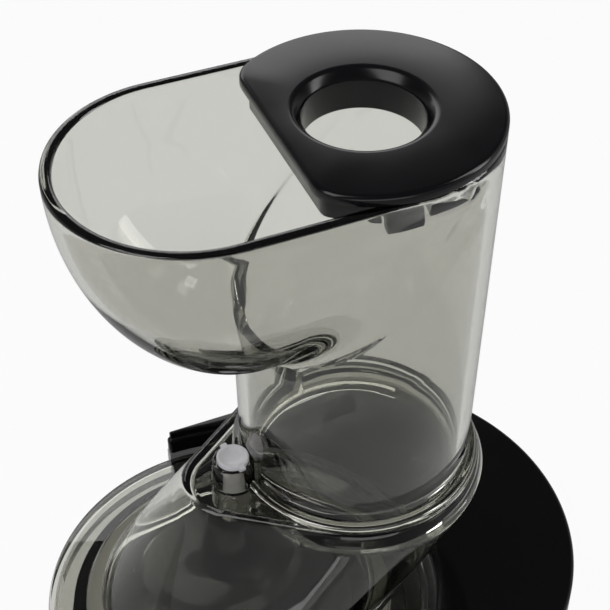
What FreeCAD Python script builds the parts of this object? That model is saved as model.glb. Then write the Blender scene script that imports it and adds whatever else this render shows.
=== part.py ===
import FreeCAD, Part
import math
import os

os.makedirs("parts", exist_ok=True)

# A vertical slow juicer. Row frame: origin on the table under the middle of the bounding box, +Z up,
# +X from the drum towards the motor column, +Y towards the flat back. Millimetres throughout.

# ---- clearances ----
SEAT_GAP = 0.3          # loose seat between lift-off pieces
RUN_GAP = 0.05          # radial running fit of a shaft in its hole
TOOTH_GAP = 0.35        # backlash on each flank of the gears
WALL = 3.0              # moulded housing wall

# ---- plan: two vertical axes ----
BODY_R = 93.0           # housing cylinder round the feed tube's axis
BACK_Y = 85.0           # flat back, measured from the feed tube's axis
AXIS_GAP = 50.0         # drum axis to feed tube axis
FLANGE_R = 78.0         # drum lid flange
TUBE_X = (AXIS_GAP + FLANGE_R - BODY_R) / 2
TUBE_Y = (BODY_R - BACK_Y) / 2
DRUM_X = TUBE_X - AXIS_GAP
DRUM_Y = TUBE_Y
RECESS_R = FLANGE_R + 3.0

# ---- heights of the base ----
FOOT_H = 6.0
DECK_Z = 100.0          # top of the lower housing, under the drum
COVER_Z = 210.0         # parting line under the top cover
COVER_H = 9.0
TOP_Z = COVER_Z + COVER_H

# ---- rear corner and rail ----
HORN_REACH = 52.0       # rear corner, left of the tube axis
RAIL_END = 34.0         # rail's right end, from the tube axis
RAIL_W = 14.5
RAIL_H = 3.0
RAIL_TONGUE = 2.0
TIP_REACH = 36.0        # front tip of the column, left of the tube axis

# ---- drum ----
DRUM_R = 69.0
DRUM_WALL = 3.0
DRUM_RIM_R = 75.0
DRUM_RIM_H = 8.0
DRUM_FLOOR_Z = 122.0
DRUM_TOP_Z = 204.0
DRUM_SEAT_Z = DECK_Z + SEAT_GAP
HUB_R = 12.0
SPOUT_ANGLE = 225.0
SPOUT_REACH = 96.0
SPOUT_BORE_R = 8.0
SPOUT_WALL = 2.5
CHUTE_ANGLE = 135.0
CHUTE_REACH = 91.0
CHUTE_W = 24.0
CHUTE_H = 12.0
CHUTE_IN_R = 30.0

# ---- drum lid ----
LID_WALL = 3.0
LID_FLANGE_Z = 208.0
LID_FLANGE_H = 3.0
LID_SKIRT_H = 11.0
LID_NECK_R = 56.0
LID_NECK_Z = 216.0
CREASE_Z = 273.0
PLATFORM_Z = 281.0
CREASE_BOSS_R = 24.0
CREASE_TUBE_R = 51.0
PLATFORM_BOSS_R = 19.0
PLATFORM_TUBE_R = 48.0
BOSS_BASE_R = 8.6
BOSS_TOP_R = 7.6
BOSS_H = 10.0
BUSH_R = 6.2
FEED_R = 39.8           # clear radius of the feed opening
SPIGOT_R = 44.2         # outside of the hopper's foot
SPIGOT_H = 8.7
LEDGE_Z = PLATFORM_Z - SPIGOT_H - SEAT_GAP

# ---- hopper ----
RIM_Z = 434.0
RIM_R = 46.5
RIM_WALL = 4.0
BEAD_R = 47.2
BEAD_H = 2.6
TRAY_REACH = 106.0      # tray's end, left of the tube axis
TRAY_DEPTH = 81.0
TRAY_RUN = 61.0         # length of the tray's rounded end
TRAY_WALL = 3.0
TRAY_POWER = 2.5
TRAY_STEPS = 9

# ---- hopper lid ----
HOOD_H = 4.0
HOOD_CUT = 31.0         # flat side, left of the tube axis
HOOD_CORNER_R = 12.0
HOOD_SKIRT_H = 9.0
HOOD_SKIRT_W = 2.5
HOOD_GAP = 0.5
HOLE_R = 20.3
HOLE_LIP = 3.0
COLLAR_H = 15.0
COLLAR_W = 2.2
TAB_ANGLE = 73.0
TAB_W = 12.0
TAB_H = 12.5
TAB_SLIT = 1.8
TAB_LEDGE = 2.2

# ---- strainer, brush and auger ----
STRAINER_R = 54.0
STRAINER_WALL = 2.5
STRAINER_Z = 130.0
STRAINER_RIM_R = 68.0
STRAINER_SLOTS = 24
SLOT_W = 4.0
BRUSH_IN_R = 57.0
BRUSH_OUT_R = 64.5
BRUSH_TOP_Z = 198.0
BRUSH_RING_H = 6.0
BRUSH_POSTS = 3
AUGER_R = 50.3
AUGER_Z = 133.2
AUGER_TOP_Z = 262.0
AUGER_CORE_LOW_R = 31.0
AUGER_CORE_TOP_R = 11.0
AUGER_PITCH = 38.0
FLIGHT_W = 5.0
JOURNAL_R = 4.0
SOCKET_R = 11.0
HEX_FLATS = 11.0
HEX_TOP_Z = 150.0

# ---- gears: teeth, module ----
BRUSH_MODULE = 1.5
AUGER_TEETH = 24
IDLER_TEETH = 29
RING_TEETH = AUGER_TEETH + 2 * IDLER_TEETH
IDLER_ANGLE = 315.0
BRUSH_GEAR_Z = 123.2
BRUSH_GEAR_H = 5.0
PINION_TEETH = 12
WHEEL_TEETH = 48
STAGE_MODULES = (1.0, 1.2, 1.4)
STAGE_Z = (58.0, 45.0, 30.0)
STAGE_H = (8.0, 10.0, 12.0)

# ---- gearbox and motor ----
CASE_Z = 18.0
CASE_FLOOR = 4.0
CASE_TOP_Z = 70.0
CASE_COVER_H = 4.0
CASE_WALL = 3.0
PIN_R = 3.0
DRIVE_R = 7.0
MOTOR_R = 23.0
MOTOR_Z = 78.0
MOTOR_H = 84.0
MOTOR_SHAFT_R = 2.5
ROTOR_R = 15.0
BEARING_R = 8.0
BEARING_H = 6.0

# ---- control knob ----
KNOB_ANGLE = 315.0
KNOB_R = 15.0
KNOB_H = 15.0
KNOB_Z = 54.0
KNOB_SHAFT_R = 3.0
SWITCH_SIDE = 24.0

# ---- small pieces ----
FOOT_R = 9.0
FOOT_PITCH = 63.0
SCREW_R = 1.6
SCREW_HEAD_R = 3.2
SEAL_ROOM = 4.0
GLAND_R = 7.0


def at(x, y, z=0.0):
    """A point in the row frame."""
    return FreeCAD.Vector(x, y, z)


def disc(x, y, radius, z, height):
    """A vertical cylinder."""
    return Part.makeCylinder(radius, height, at(x, y, z))


def ring(x, y, outer, inner, z, height):
    """A vertical tube with a plain bore."""
    return disc(x, y, outer, z, height).cut(disc(x, y, inner, z - 1, height + 2))


def cone(x, y, low, high, z, height):
    """A vertical cone frustum."""
    return Part.makeCone(low, high, height, at(x, y, z))


def block(x0, x1, y0, y1, z0, z1):
    """A box between two corners."""
    return Part.makeBox(x1 - x0, y1 - y0, z1 - z0, at(x0, y0, z0))


def turned(shape, x, y, angle):
    """The shape turned about a vertical axis through x, y."""
    copy = shape.copy()
    copy.rotate(at(x, y), at(0, 0, 1), angle)
    return copy


def polar(x, y, radius, angle):
    """Plan position at a radius and an angle in degrees from a centre."""
    a = math.radians(angle)
    return x + radius * math.cos(a), y + radius * math.sin(a)


def hull_wire(xa, ra, xb, rb, y, z, normal=None):
    """Outline round two circles on one row line: small circle at xa, large circle at xb."""
    if normal is None:
        normal = math.acos((ra - rb) / (xb - xa))
    points = []
    for x, r, a in ((xb, rb, -normal), (xb, rb, 0.0), (xb, rb, normal),
                    (xa, ra, normal), (xa, ra, math.pi), (xa, ra, -normal)):
        points.append(at(x + r * math.cos(a), y + r * math.sin(a), z))
    big = Part.Arc(points[0], points[1], points[2]).toShape()
    top = Part.LineSegment(points[2], points[3]).toShape()
    small = Part.Arc(points[3], points[4], points[5]).toShape()
    low = Part.LineSegment(points[5], points[0]).toShape()
    return Part.Wire([big, top, small, low])


def hull_prism(xa, ra, xb, rb, y, z, height):
    """A prism on the outline round two circles."""
    face = Part.Face(hull_wire(xa, ra, xb, rb, y, z))
    return face.extrude(at(0, 0, height))


def split_circle_wire(x, radius, y, z, first, second):
    """A circle split at +-first and +-second, to match a hull outline edge for edge."""
    marks = (-first, 0.0, first, (first + second) / 2, second, math.pi,
             -second, -(first + second) / 2, -first)
    points = [at(x + radius * math.cos(a), y + radius * math.sin(a), z) for a in marks]
    edges = [Part.Arc(points[i], points[i + 1], points[i + 2]).toShape() for i in (0, 2, 4, 6)]
    return Part.Wire(edges)


def gear(x, y, z, height, module, teeth, phase, bore):
    """Spur gear with straight flanks; phase turns the middle of a tooth to that angle."""
    pitch_r = module * teeth / 2
    tip_r = pitch_r + 0.9 * module
    root_r = pitch_r - 1.15 * module
    half_pitch = math.pi * module / 4 - TOOTH_GAP / 2 * module
    slope = math.tan(math.radians(20.0))
    widths = ((root_r, half_pitch + 1.15 * module * slope), (tip_r, half_pitch - 0.9 * module * slope))
    points = []
    for i in range(teeth):
        middle = math.radians(phase) + 2 * math.pi * i / teeth
        for r, w in (widths[0], widths[1]):
            points.append(at(x + r * math.cos(middle - w / r), y + r * math.sin(middle - w / r), z))
        for r, w in (widths[1], widths[0]):
            points.append(at(x + r * math.cos(middle + w / r), y + r * math.sin(middle + w / r), z))
    points.append(points[0])
    solid = Part.Face(Part.makePolygon(points)).extrude(at(0, 0, height))
    if bore > 0:
        solid = solid.cut(disc(x, y, bore, z - 1, height + 2))
    return solid


def mesh_phase(angle, driver_teeth, driver_phase, teeth):
    """Phase of a gear placed at an angle from its driver, so that a gap meets the driver's tooth."""
    off = (angle - driver_phase) / (360.0 / driver_teeth)
    return angle + 180.0 + (0.5 + off) * 360.0 / teeth


def bolt_points(x, y, radius, count, start):
    """Plan positions on a circle."""
    return [polar(x, y, radius, start + i * 360.0 / count) for i in range(count)]


# ---- housing ----
def body_outline(inset, z, height):
    """Housing outline: a cylinder with a flat back and a square rear corner."""
    round_part = disc(TUBE_X, TUBE_Y, BODY_R - inset, z, height)
    corner = block(TUBE_X - HORN_REACH + inset, TUBE_X, TUBE_Y, TUBE_Y + BACK_Y - inset, z, z + height)
    keep = block(TUBE_X - BODY_R, TUBE_X + BODY_R, TUBE_Y - BODY_R, TUBE_Y + BACK_Y - inset,
                 z, z + height)
    return round_part.common(keep).fuse(corner)


def column_outline(inset, z, height):
    """The part of the outline that stands beside the drum."""
    tip = block(TUBE_X - BODY_R, TUBE_X - TIP_REACH + inset, TUBE_Y - BODY_R, TUBE_Y, z, z + height)
    shape = body_outline(inset, z, height).cut(disc(DRUM_X, DRUM_Y, RECESS_R + inset, z - 1, height + 2))
    return shape.cut(tip)


BASE_Z = FOOT_H + WALL
SCREW_SPOTS = bolt_points(TUBE_X, TUBE_Y, BODY_R - WALL - 3.0, 4, 45.0)
SCREW_POST_R = 4.0
SCREW_POST_H = 24.0
GLAND_X = TUBE_X + 10.0
GLAND_Z = 30.0
SEAL_FLANGE = 1.5
FOOT_SPOTS = bolt_points(TUBE_X, TUBE_Y, FOOT_PITCH, 4, 45.0)
KNOB_FACE = BODY_R + SEAT_GAP


def knob_rod(radius, start, length):
    """A cylinder along the knob's axis, from a distance outside the tube axis."""
    x, y = polar(TUBE_X, TUBE_Y, start, KNOB_ANGLE)
    a = math.radians(KNOB_ANGLE)
    return Part.makeCylinder(radius, length, at(x, y, KNOB_Z), at(math.cos(a), math.sin(a), 0))


def base_housing():
    """Lower housing with the drum's deck, and the motor column, open below and at the column's top."""
    outer = body_outline(0, BASE_Z, DECK_Z - BASE_Z).fuse(column_outline(0, DECK_Z, COVER_Z - DECK_Z))
    room = body_outline(WALL, BASE_Z - 1, DECK_Z - WALL - BASE_Z + 1)
    upper = column_outline(WALL, DECK_Z - WALL, COVER_Z - DECK_Z + WALL + 1)
    shell = outer.cut(room).cut(upper)
    shell = shell.cut(disc(DRUM_X, DRUM_Y, DRIVE_R + SEAL_ROOM, DECK_Z - WALL - 1, WALL + 2))
    shell = shell.cut(knob_rod(KNOB_SHAFT_R + 1.0, BODY_R - WALL - 4, WALL + 8))
    hole = Part.makeCylinder(GLAND_R, WALL + 4, at(GLAND_X, TUBE_Y + BACK_Y - WALL - 2, GLAND_Z),
                             at(0, 1, 0))
    shell = shell.cut(hole)
    for x, y in SCREW_SPOTS:
        post = disc(x, y, SCREW_POST_R, BASE_Z, SCREW_POST_H).common(body_outline(0, 0, DECK_Z))
        shell = shell.fuse(post).cut(disc(x, y, SCREW_R, BASE_Z - 1, SCREW_POST_H - 4))
    return shell


def bottom_plate():
    """Base plate with louvres, screw holes and posts that carry the gearbox and the board."""
    plate = body_outline(0, FOOT_H, WALL)
    for x, y in SCREW_SPOTS:
        plate = plate.cut(disc(x, y, SCREW_R + 0.2, FOOT_H - 1, WALL + 2))
        plate = plate.cut(disc(x, y, SCREW_HEAD_R + SEAT_GAP, FOOT_H - 1, 1.15 + SCREW_R))
    for x, y in FOOT_SPOTS:
        plate = plate.cut(disc(x, y, 3.0, FOOT_H - 1, WALL + 2))
    for i in range(7):
        x = TUBE_X - 18 + 6 * i
        plate = plate.cut(block(x, x + 3, TUBE_Y - 74, TUBE_Y - 50, FOOT_H - 1, FOOT_H + WALL + 1))
    for x, y in CASE_FEET:
        plate = plate.fuse(ring(x, y, 5.0, SCREW_R - 0.1, FOOT_H + WALL, CASE_Z - FOOT_H - WALL))
    for x in BOARD_POSTS:
        plate = plate.fuse(block(x - 3, x + 3, BOARD_Y - 5, BOARD_Y - SEAT_GAP, FOOT_H, 30))
    return plate


def foot(x, y):
    """Rubber foot with a plug that fills its hole in the base plate."""
    pad = cone(x, y, FOOT_R - 1.0, FOOT_R, 0, FOOT_H - 0.02)
    return pad.fuse(disc(x, y, 3.0 - RUN_GAP, FOOT_H - 1, WALL + 0.5))


def base_screws():
    """Four screws through the base plate into the housing's posts."""
    head_z = FOOT_H + 0.1
    return Part.makeCompound([
        disc(x, y, SCREW_HEAD_R, head_z, SCREW_R).fuse(disc(x, y, SCREW_R - RUN_GAP, head_z, 16))
        for x, y in SCREW_SPOTS])


def top_cover():
    """Glossy cap over the motor column, with a rounded edge and a locating lip."""
    cap = column_outline(0, COVER_Z + SEAT_GAP, COVER_H - SEAT_GAP)
    edges = [e for e in cap.Edges if abs(e.BoundBox.ZMin - TOP_Z) < 0.01
             and abs(e.BoundBox.ZMax - TOP_Z) < 0.01]
    cap = cap.makeFillet(1.6, edges)
    cap = cap.cut(column_outline(WALL, COVER_Z, COVER_H - WALL))
    lip = column_outline(WALL + 0.2, COVER_Z - 3, COVER_H - WALL + 3.5)
    cap = cap.fuse(lip.cut(column_outline(WALL + 2.0, COVER_Z - 4, COVER_H + 0.5)))
    slot = rail_outline(0, TOP_Z - RAIL_TONGUE, RAIL_TONGUE + 1)
    return cap.cut(slot)


def rail_outline(inset, z, height):
    """Plan of the raised rear rail, hollowed by the drum's recess."""
    bar = block(TUBE_X - HORN_REACH + 1 + inset, TUBE_X + RAIL_END - inset,
                TUBE_Y + BACK_Y - RAIL_W + inset, TUBE_Y + BACK_Y - 1 - inset, z, z + height)
    return bar.cut(disc(DRUM_X, DRUM_Y, RECESS_R + 1 + inset, z - 1, height + 2))


def rear_rail():
    """Raised rail along the back edge of the top cover."""
    return rail_outline(0.1, TOP_Z - RAIL_TONGUE + 0.1, RAIL_TONGUE + RAIL_H)


# ---- gear train ----
def train_centres():
    """Axis X of the motor, the two gear pins and the output, from the drum axis out."""
    xs = [DRUM_X]
    for module in reversed(STAGE_MODULES):
        xs.append(xs[-1] + module * (PINION_TEETH + WHEEL_TEETH) / 2)
    return list(reversed(xs))


def wheel_tip_r(stage):
    """Tip radius of a stage's large wheel."""
    return STAGE_MODULES[stage] * (WHEEL_TEETH / 2 + 0.9)


MOTOR_X, PIN_1_X, PIN_2_X, OUT_X = train_centres()
CASE_GAP = 1.2
CASE_CIRCLES = ((OUT_X, wheel_tip_r(2) + CASE_GAP), (PIN_2_X, wheel_tip_r(1) + CASE_GAP),
                (PIN_1_X, wheel_tip_r(0) + CASE_GAP), (MOTOR_X, 14.0))
CASE_FEET = [(OUT_X + 6, DRUM_Y + s * 46.0) for s in (1, -1)] + [
    (PIN_1_X + 12, DRUM_Y + s * 34.0) for s in (1, -1)]
BOARD_Y = TUBE_Y + 56.0
BOARD_POSTS = (TUBE_X - 4, TUBE_X + 30)
FIRST_PHASE = 0.0
PHASE_1 = mesh_phase(180.0, PINION_TEETH, FIRST_PHASE, WHEEL_TEETH)
PHASE_2 = mesh_phase(180.0, PINION_TEETH, PHASE_1, WHEEL_TEETH)
PHASE_3 = mesh_phase(180.0, PINION_TEETH, PHASE_2, WHEEL_TEETH)


def case_prism(grow, z, height):
    """Plan of the gearbox: the outline round each pair of neighbouring gears."""
    shape = None
    for (xb, rb), (xa, ra) in zip(CASE_CIRCLES[:-1], CASE_CIRCLES[1:]):
        piece = hull_prism(-xa, ra + grow, -xb, rb + grow, 0, z, height)
        piece = piece.mirror(at(0, 0), at(1, 0, 0))
        piece.translate(at(0, DRUM_Y))
        shape = piece if shape is None else shape.fuse(piece)
    return shape.removeSplitter()


def gearbox_housing():
    """Open gearbox tray with bosses for the pins and the lower output bearing, and screw ears."""
    box = case_prism(CASE_WALL, CASE_Z, CASE_TOP_Z - CASE_Z)
    for x, y in CASE_FEET:
        box = box.fuse(disc(x, y, 6.0, CASE_Z, CASE_FLOOR))
        box = box.fuse(block(x - 6, x + 6, min(y, DRUM_Y + (y - DRUM_Y) * 0.5),
                             max(y, DRUM_Y + (y - DRUM_Y) * 0.5), CASE_Z, CASE_Z + CASE_FLOOR))
    box = box.cut(case_prism(0, CASE_Z + CASE_FLOOR, CASE_TOP_Z))
    for x in (PIN_1_X, PIN_2_X):
        box = box.fuse(disc(x, DRUM_Y, 6.0, CASE_Z, CASE_FLOOR + 2))
        box = box.cut(disc(x, DRUM_Y, PIN_R, CASE_Z + 1, 20))
    box = box.fuse(ring(OUT_X, DRUM_Y, BEARING_R + 4.5, BEARING_R + 2, CASE_Z, CASE_FLOOR + 5))
    for x, y in CASE_FEET:
        box = box.cut(disc(x, y, SCREW_R + 0.2, CASE_Z - 1, CASE_FLOOR + 2))
    return box


def gearbox_cover():
    """Lid of the gearbox with the upper output bearing's boss and the motor's pilot hole."""
    lid = case_prism(CASE_WALL, CASE_TOP_Z, CASE_COVER_H)
    lid = lid.fuse(disc(OUT_X, DRUM_Y, BEARING_R + 5, CASE_TOP_Z, 12))
    lid = lid.cut(disc(OUT_X, DRUM_Y, BEARING_R + 2, CASE_TOP_Z + 2, 20))
    lid = lid.cut(disc(OUT_X, DRUM_Y, DRIVE_R + 0.6, CASE_TOP_Z - 1, 20))
    lid = lid.cut(disc(MOTOR_X, DRUM_Y, BEARING_R + 1, CASE_TOP_Z - 1, CASE_COVER_H + 2))
    for x in (PIN_1_X, PIN_2_X):
        lid = lid.cut(disc(x, DRUM_Y, PIN_R, CASE_TOP_Z - 1, CASE_COVER_H - 0.5))
    return lid


def gearbox_screws():
    """Four screws that hold the gearbox to the base plate's posts."""
    top = CASE_Z + CASE_FLOOR
    return Part.makeCompound([
        disc(x, y, SCREW_R - 0.15, top - 10, 10).fuse(disc(x, y, SCREW_HEAD_R, top, 2.2))
        for x, y in CASE_FEET])


def gear_pin(x):
    """Fixed steel pin that carries a compound gear."""
    return disc(x, DRUM_Y, PIN_R, CASE_Z + 1, CASE_TOP_Z + CASE_COVER_H - 1.5 - CASE_Z - 1)


def compound_gear(x, stage, wheel_phase):
    """Large wheel of one stage and the pinion of the next, on one hub."""
    wheel_z = STAGE_Z[stage]
    pinion_z = STAGE_Z[stage + 1]
    bore = PIN_R + RUN_GAP
    wheel = gear(x, DRUM_Y, wheel_z, STAGE_H[stage], STAGE_MODULES[stage], WHEEL_TEETH, wheel_phase, 0)
    pinion = gear(x, DRUM_Y, pinion_z, wheel_z - pinion_z, STAGE_MODULES[stage + 1], PINION_TEETH,
                  wheel_phase, 0)
    low = CASE_Z + CASE_FLOOR + 2 + 0.2
    hub_low = disc(x, DRUM_Y, PIN_R + 1.6, low, pinion_z - low)
    hub_top_z = wheel_z + STAGE_H[stage]
    hub_top = disc(x, DRUM_Y, PIN_R + 3, hub_top_z, CASE_TOP_Z - 0.2 - hub_top_z)
    solid = wheel.fuse(pinion).fuse(hub_low).fuse(hub_top)
    return solid.cut(disc(x, DRUM_Y, bore, low - 1, CASE_TOP_Z))


def hex_prism(flats, z, height):
    """A vertical hexagon on the drum axis."""
    r = flats / math.sqrt(3.0)
    points = [at(*polar(DRUM_X, DRUM_Y, r, 60.0 * i), z) for i in range(7)]
    return Part.Face(Part.makePolygon(points)).extrude(at(0, 0, height))


def output_gear():
    """Last wheel of the train, seated on the drive shaft."""
    wheel = gear(OUT_X, DRUM_Y, STAGE_Z[2], STAGE_H[2], STAGE_MODULES[2], WHEEL_TEETH, PHASE_3, 0)
    hub = disc(OUT_X, DRUM_Y, DRIVE_R + 4, STAGE_Z[2] - 1.5, STAGE_H[2] + 12)
    return wheel.fuse(hub).cut(disc(OUT_X, DRUM_Y, DRIVE_R, STAGE_Z[2] - 3, STAGE_H[2] + 20))


def drive_shaft():
    """Output shaft, round in its bearings and hexagonal where it drives the auger."""
    low = CASE_Z + CASE_FLOOR + 0.2
    shaft = disc(DRUM_X, DRUM_Y, DRIVE_R, low, DECK_Z + 12 - low)
    return shaft.fuse(hex_prism(HEX_FLATS, DECK_Z + 12, HEX_TOP_Z - DECK_Z - 12))


def bush(x, outer, inner, z, height):
    """A plain bearing on the row line of the gearbox."""
    return ring(x, DRUM_Y, outer, inner + RUN_GAP, z, height)


def shaft_seal():
    """Rubber seal in the deck round the drive shaft, with a flange over the hole's edge."""
    body = disc(DRUM_X, DRUM_Y, DRIVE_R + SEAL_ROOM - RUN_GAP, DECK_Z - WALL, WALL)
    body = body.fuse(disc(DRUM_X, DRUM_Y, DRIVE_R + SEAL_ROOM + SEAL_FLANGE, DECK_Z, 1.2))
    return body.cut(disc(DRUM_X, DRUM_Y, DRIVE_R + RUN_GAP, DECK_Z - 10, 20))


# ---- motor ----
def motor_can():
    """Steel can of the motor with its lower end wall, standing on the gearbox cover."""
    can = ring(MOTOR_X, DRUM_Y, MOTOR_R, MOTOR_R - 2, MOTOR_Z, MOTOR_H)
    floor = ring(MOTOR_X, DRUM_Y, MOTOR_R - 1, BEARING_R, MOTOR_Z, BEARING_H)
    nose = ring(MOTOR_X, DRUM_Y, BEARING_R + 4, BEARING_R, CASE_TOP_Z + CASE_COVER_H,
                MOTOR_Z - CASE_TOP_Z - CASE_COVER_H + 1)
    return can.fuse(floor).fuse(nose)


def motor_magnets():
    """Pair of field magnets against the can's wall."""
    z = MOTOR_Z + BEARING_H + 6
    both = ring(MOTOR_X, DRUM_Y, MOTOR_R - 2.1, ROTOR_R + 1.5, z, 52)
    for s in (1, -1):
        gap = block(MOTOR_X - 30, MOTOR_X + 30, DRUM_Y - 4, DRUM_Y + 4, z - 1, z + 60)
        both = both.cut(turned(gap, MOTOR_X, DRUM_Y, 0 if s > 0 else 180))
    return Part.makeCompound(both.Solids)


def motor_end_cap():
    """Moulded cap at the motor's top with the upper bearing's seat."""
    z = MOTOR_Z + MOTOR_H
    cap = disc(MOTOR_X, DRUM_Y, MOTOR_R, z, 5)
    cap = cap.cut(disc(MOTOR_X, DRUM_Y, BEARING_R, z - 1, 7))
    for i in range(6):
        x, y = polar(MOTOR_X, DRUM_Y, 15.0, 60.0 * i)
        cap = cap.cut(disc(x, y, 3.0, z - 1, 7))
    return cap


def rotor():
    """Wound rotor with a commutator, seated on the motor shaft."""
    z = MOTOR_Z + BEARING_H + 8
    core = disc(MOTOR_X, DRUM_Y, ROTOR_R, z, 46)
    for i in range(10):
        x, y = polar(MOTOR_X, DRUM_Y, ROTOR_R, 36.0 * i)
        core = core.cut(disc(x, y, 1.6, z - 1, 50))
    core = core.fuse(disc(MOTOR_X, DRUM_Y, 7.0, z + 46, 14))
    return core.cut(disc(MOTOR_X, DRUM_Y, MOTOR_SHAFT_R, z - 1, 80))


def motor_shaft():
    """Motor shaft from the fan down to the pinion."""
    low = STAGE_Z[0] - 4
    return disc(MOTOR_X, DRUM_Y, MOTOR_SHAFT_R, low, MOTOR_Z + MOTOR_H + 16 - low)


def motor_pinion():
    """First pinion on the motor shaft."""
    return gear(MOTOR_X, DRUM_Y, STAGE_Z[0] - 1, STAGE_H[0] + 2, STAGE_MODULES[0], PINION_TEETH,
                FIRST_PHASE, MOTOR_SHAFT_R)


def motor_fan():
    """Cooling fan on top of the motor shaft."""
    z = MOTOR_Z + MOTOR_H + 7
    fan = disc(MOTOR_X, DRUM_Y, 5.0, z, 8)
    fan = fan.fuse(disc(MOTOR_X, DRUM_Y, MOTOR_R - 3, z, 1.2))
    for i in range(8):
        blade = block(MOTOR_X + 4, MOTOR_X + MOTOR_R - 3.2, DRUM_Y - 0.6, DRUM_Y + 0.6, z, z + 8)
        fan = fan.fuse(turned(blade, MOTOR_X, DRUM_Y, 45.0 * i))
    return fan.cut(disc(MOTOR_X, DRUM_Y, MOTOR_SHAFT_R, z - 1, 12))


# ---- controls ----
def control_knob():
    """Round knob with a raised grip bar across its face."""
    knob = knob_rod(KNOB_R, KNOB_FACE, KNOB_H - 5)
    x, y = polar(TUBE_X, TUBE_Y, KNOB_FACE + KNOB_H - 5.5, KNOB_ANGLE)
    grip = Part.makeBox(5.5, 6, 2 * KNOB_R - 4, at(0, -3, -KNOB_R + 2))
    grip.rotate(at(0, 0), at(0, 0, 1), KNOB_ANGLE)
    grip.translate(at(x, y, KNOB_Z))
    return knob.fuse(grip).cut(knob_rod(KNOB_SHAFT_R, KNOB_FACE - 1, 7))


def knob_shaft():
    """Spindle from the knob into the switch."""
    return knob_rod(KNOB_SHAFT_R, BODY_R - WALL - 12, 12 + WALL + SEAT_GAP + 6)


def switch_body():
    """Rotary switch behind the wall, held by a threaded collar in the wall's hole."""
    x, y = polar(TUBE_X, TUBE_Y, BODY_R - WALL - 17.5, KNOB_ANGLE)
    half = SWITCH_SIDE / 2
    body = Part.makeBox(15, SWITCH_SIDE, SWITCH_SIDE, at(0, -half, -half))
    body.rotate(at(0, 0), at(0, 0, 1), KNOB_ANGLE)
    body.translate(at(x, y, KNOB_Z))
    body = body.fuse(knob_rod(KNOB_SHAFT_R + 1.0, BODY_R - WALL - 4, WALL + 3.5))
    return body.cut(knob_rod(KNOB_SHAFT_R + RUN_GAP, BODY_R - WALL - 12.5, 30))


def control_board():
    """Circuit board with a capacitor and a relay, standing against two posts."""
    x0 = BOARD_POSTS[0] - 8
    board = block(x0, BOARD_POSTS[1] + 8, BOARD_Y, BOARD_Y + 1.6, FOOT_H + WALL + SEAT_GAP, 60)
    relay = block(x0 + 8, x0 + 26, BOARD_Y + 1.6, BOARD_Y + 14, 20, 34)
    capacitor = Part.makeCylinder(5.0, 12.0, at(x0 + 38, BOARD_Y + 1.0, 46), at(0, 1, 0))
    return board.fuse(relay).fuse(capacitor)


def cord_inlet():
    """Flanged bush in the back wall where a power cord would enter."""
    y = TUBE_Y + BACK_Y - WALL
    body = Part.makeCylinder(GLAND_R - RUN_GAP, WALL + 0.9, at(GLAND_X, y - 1, GLAND_Z), at(0, 1, 0))
    body = body.fuse(Part.makeCylinder(GLAND_R + 2, 2, at(GLAND_X, y - 2.02, GLAND_Z), at(0, 1, 0)))
    return body.cut(Part.makeCylinder(4.0, 20, at(GLAND_X, y - 10, GLAND_Z), at(0, 1, 0)))


# ---- drum ----
def radial_box(angle, r0, r1, width, z0, z1):
    """A box that runs outwards from the drum axis."""
    box = block(DRUM_X + r0, DRUM_X + r1, DRUM_Y - width / 2, DRUM_Y + width / 2, z0, z1)
    return turned(box, DRUM_X, DRUM_Y, angle)


def radial_rod(angle, r0, r1, radius, z):
    """A cylinder that runs outwards from the drum axis."""
    rod = Part.makeCylinder(radius, r1 - r0, at(DRUM_X + r0, DRUM_Y, z), at(1, 0, 0))
    return turned(rod, DRUM_X, DRUM_Y, angle)


SPOUT_Z = DRUM_FLOOR_Z + SPOUT_BORE_R + 0.5
CHUTE_Z = DRUM_SEAT_Z + 3.0
IDLER_X, IDLER_Y = polar(DRUM_X, DRUM_Y, BRUSH_MODULE * (AUGER_TEETH + IDLER_TEETH) / 2, IDLER_ANGLE)
AUGER_PHASE = IDLER_ANGLE
IDLER_PHASE = mesh_phase(IDLER_ANGLE, AUGER_TEETH, AUGER_PHASE, IDLER_TEETH)


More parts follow.
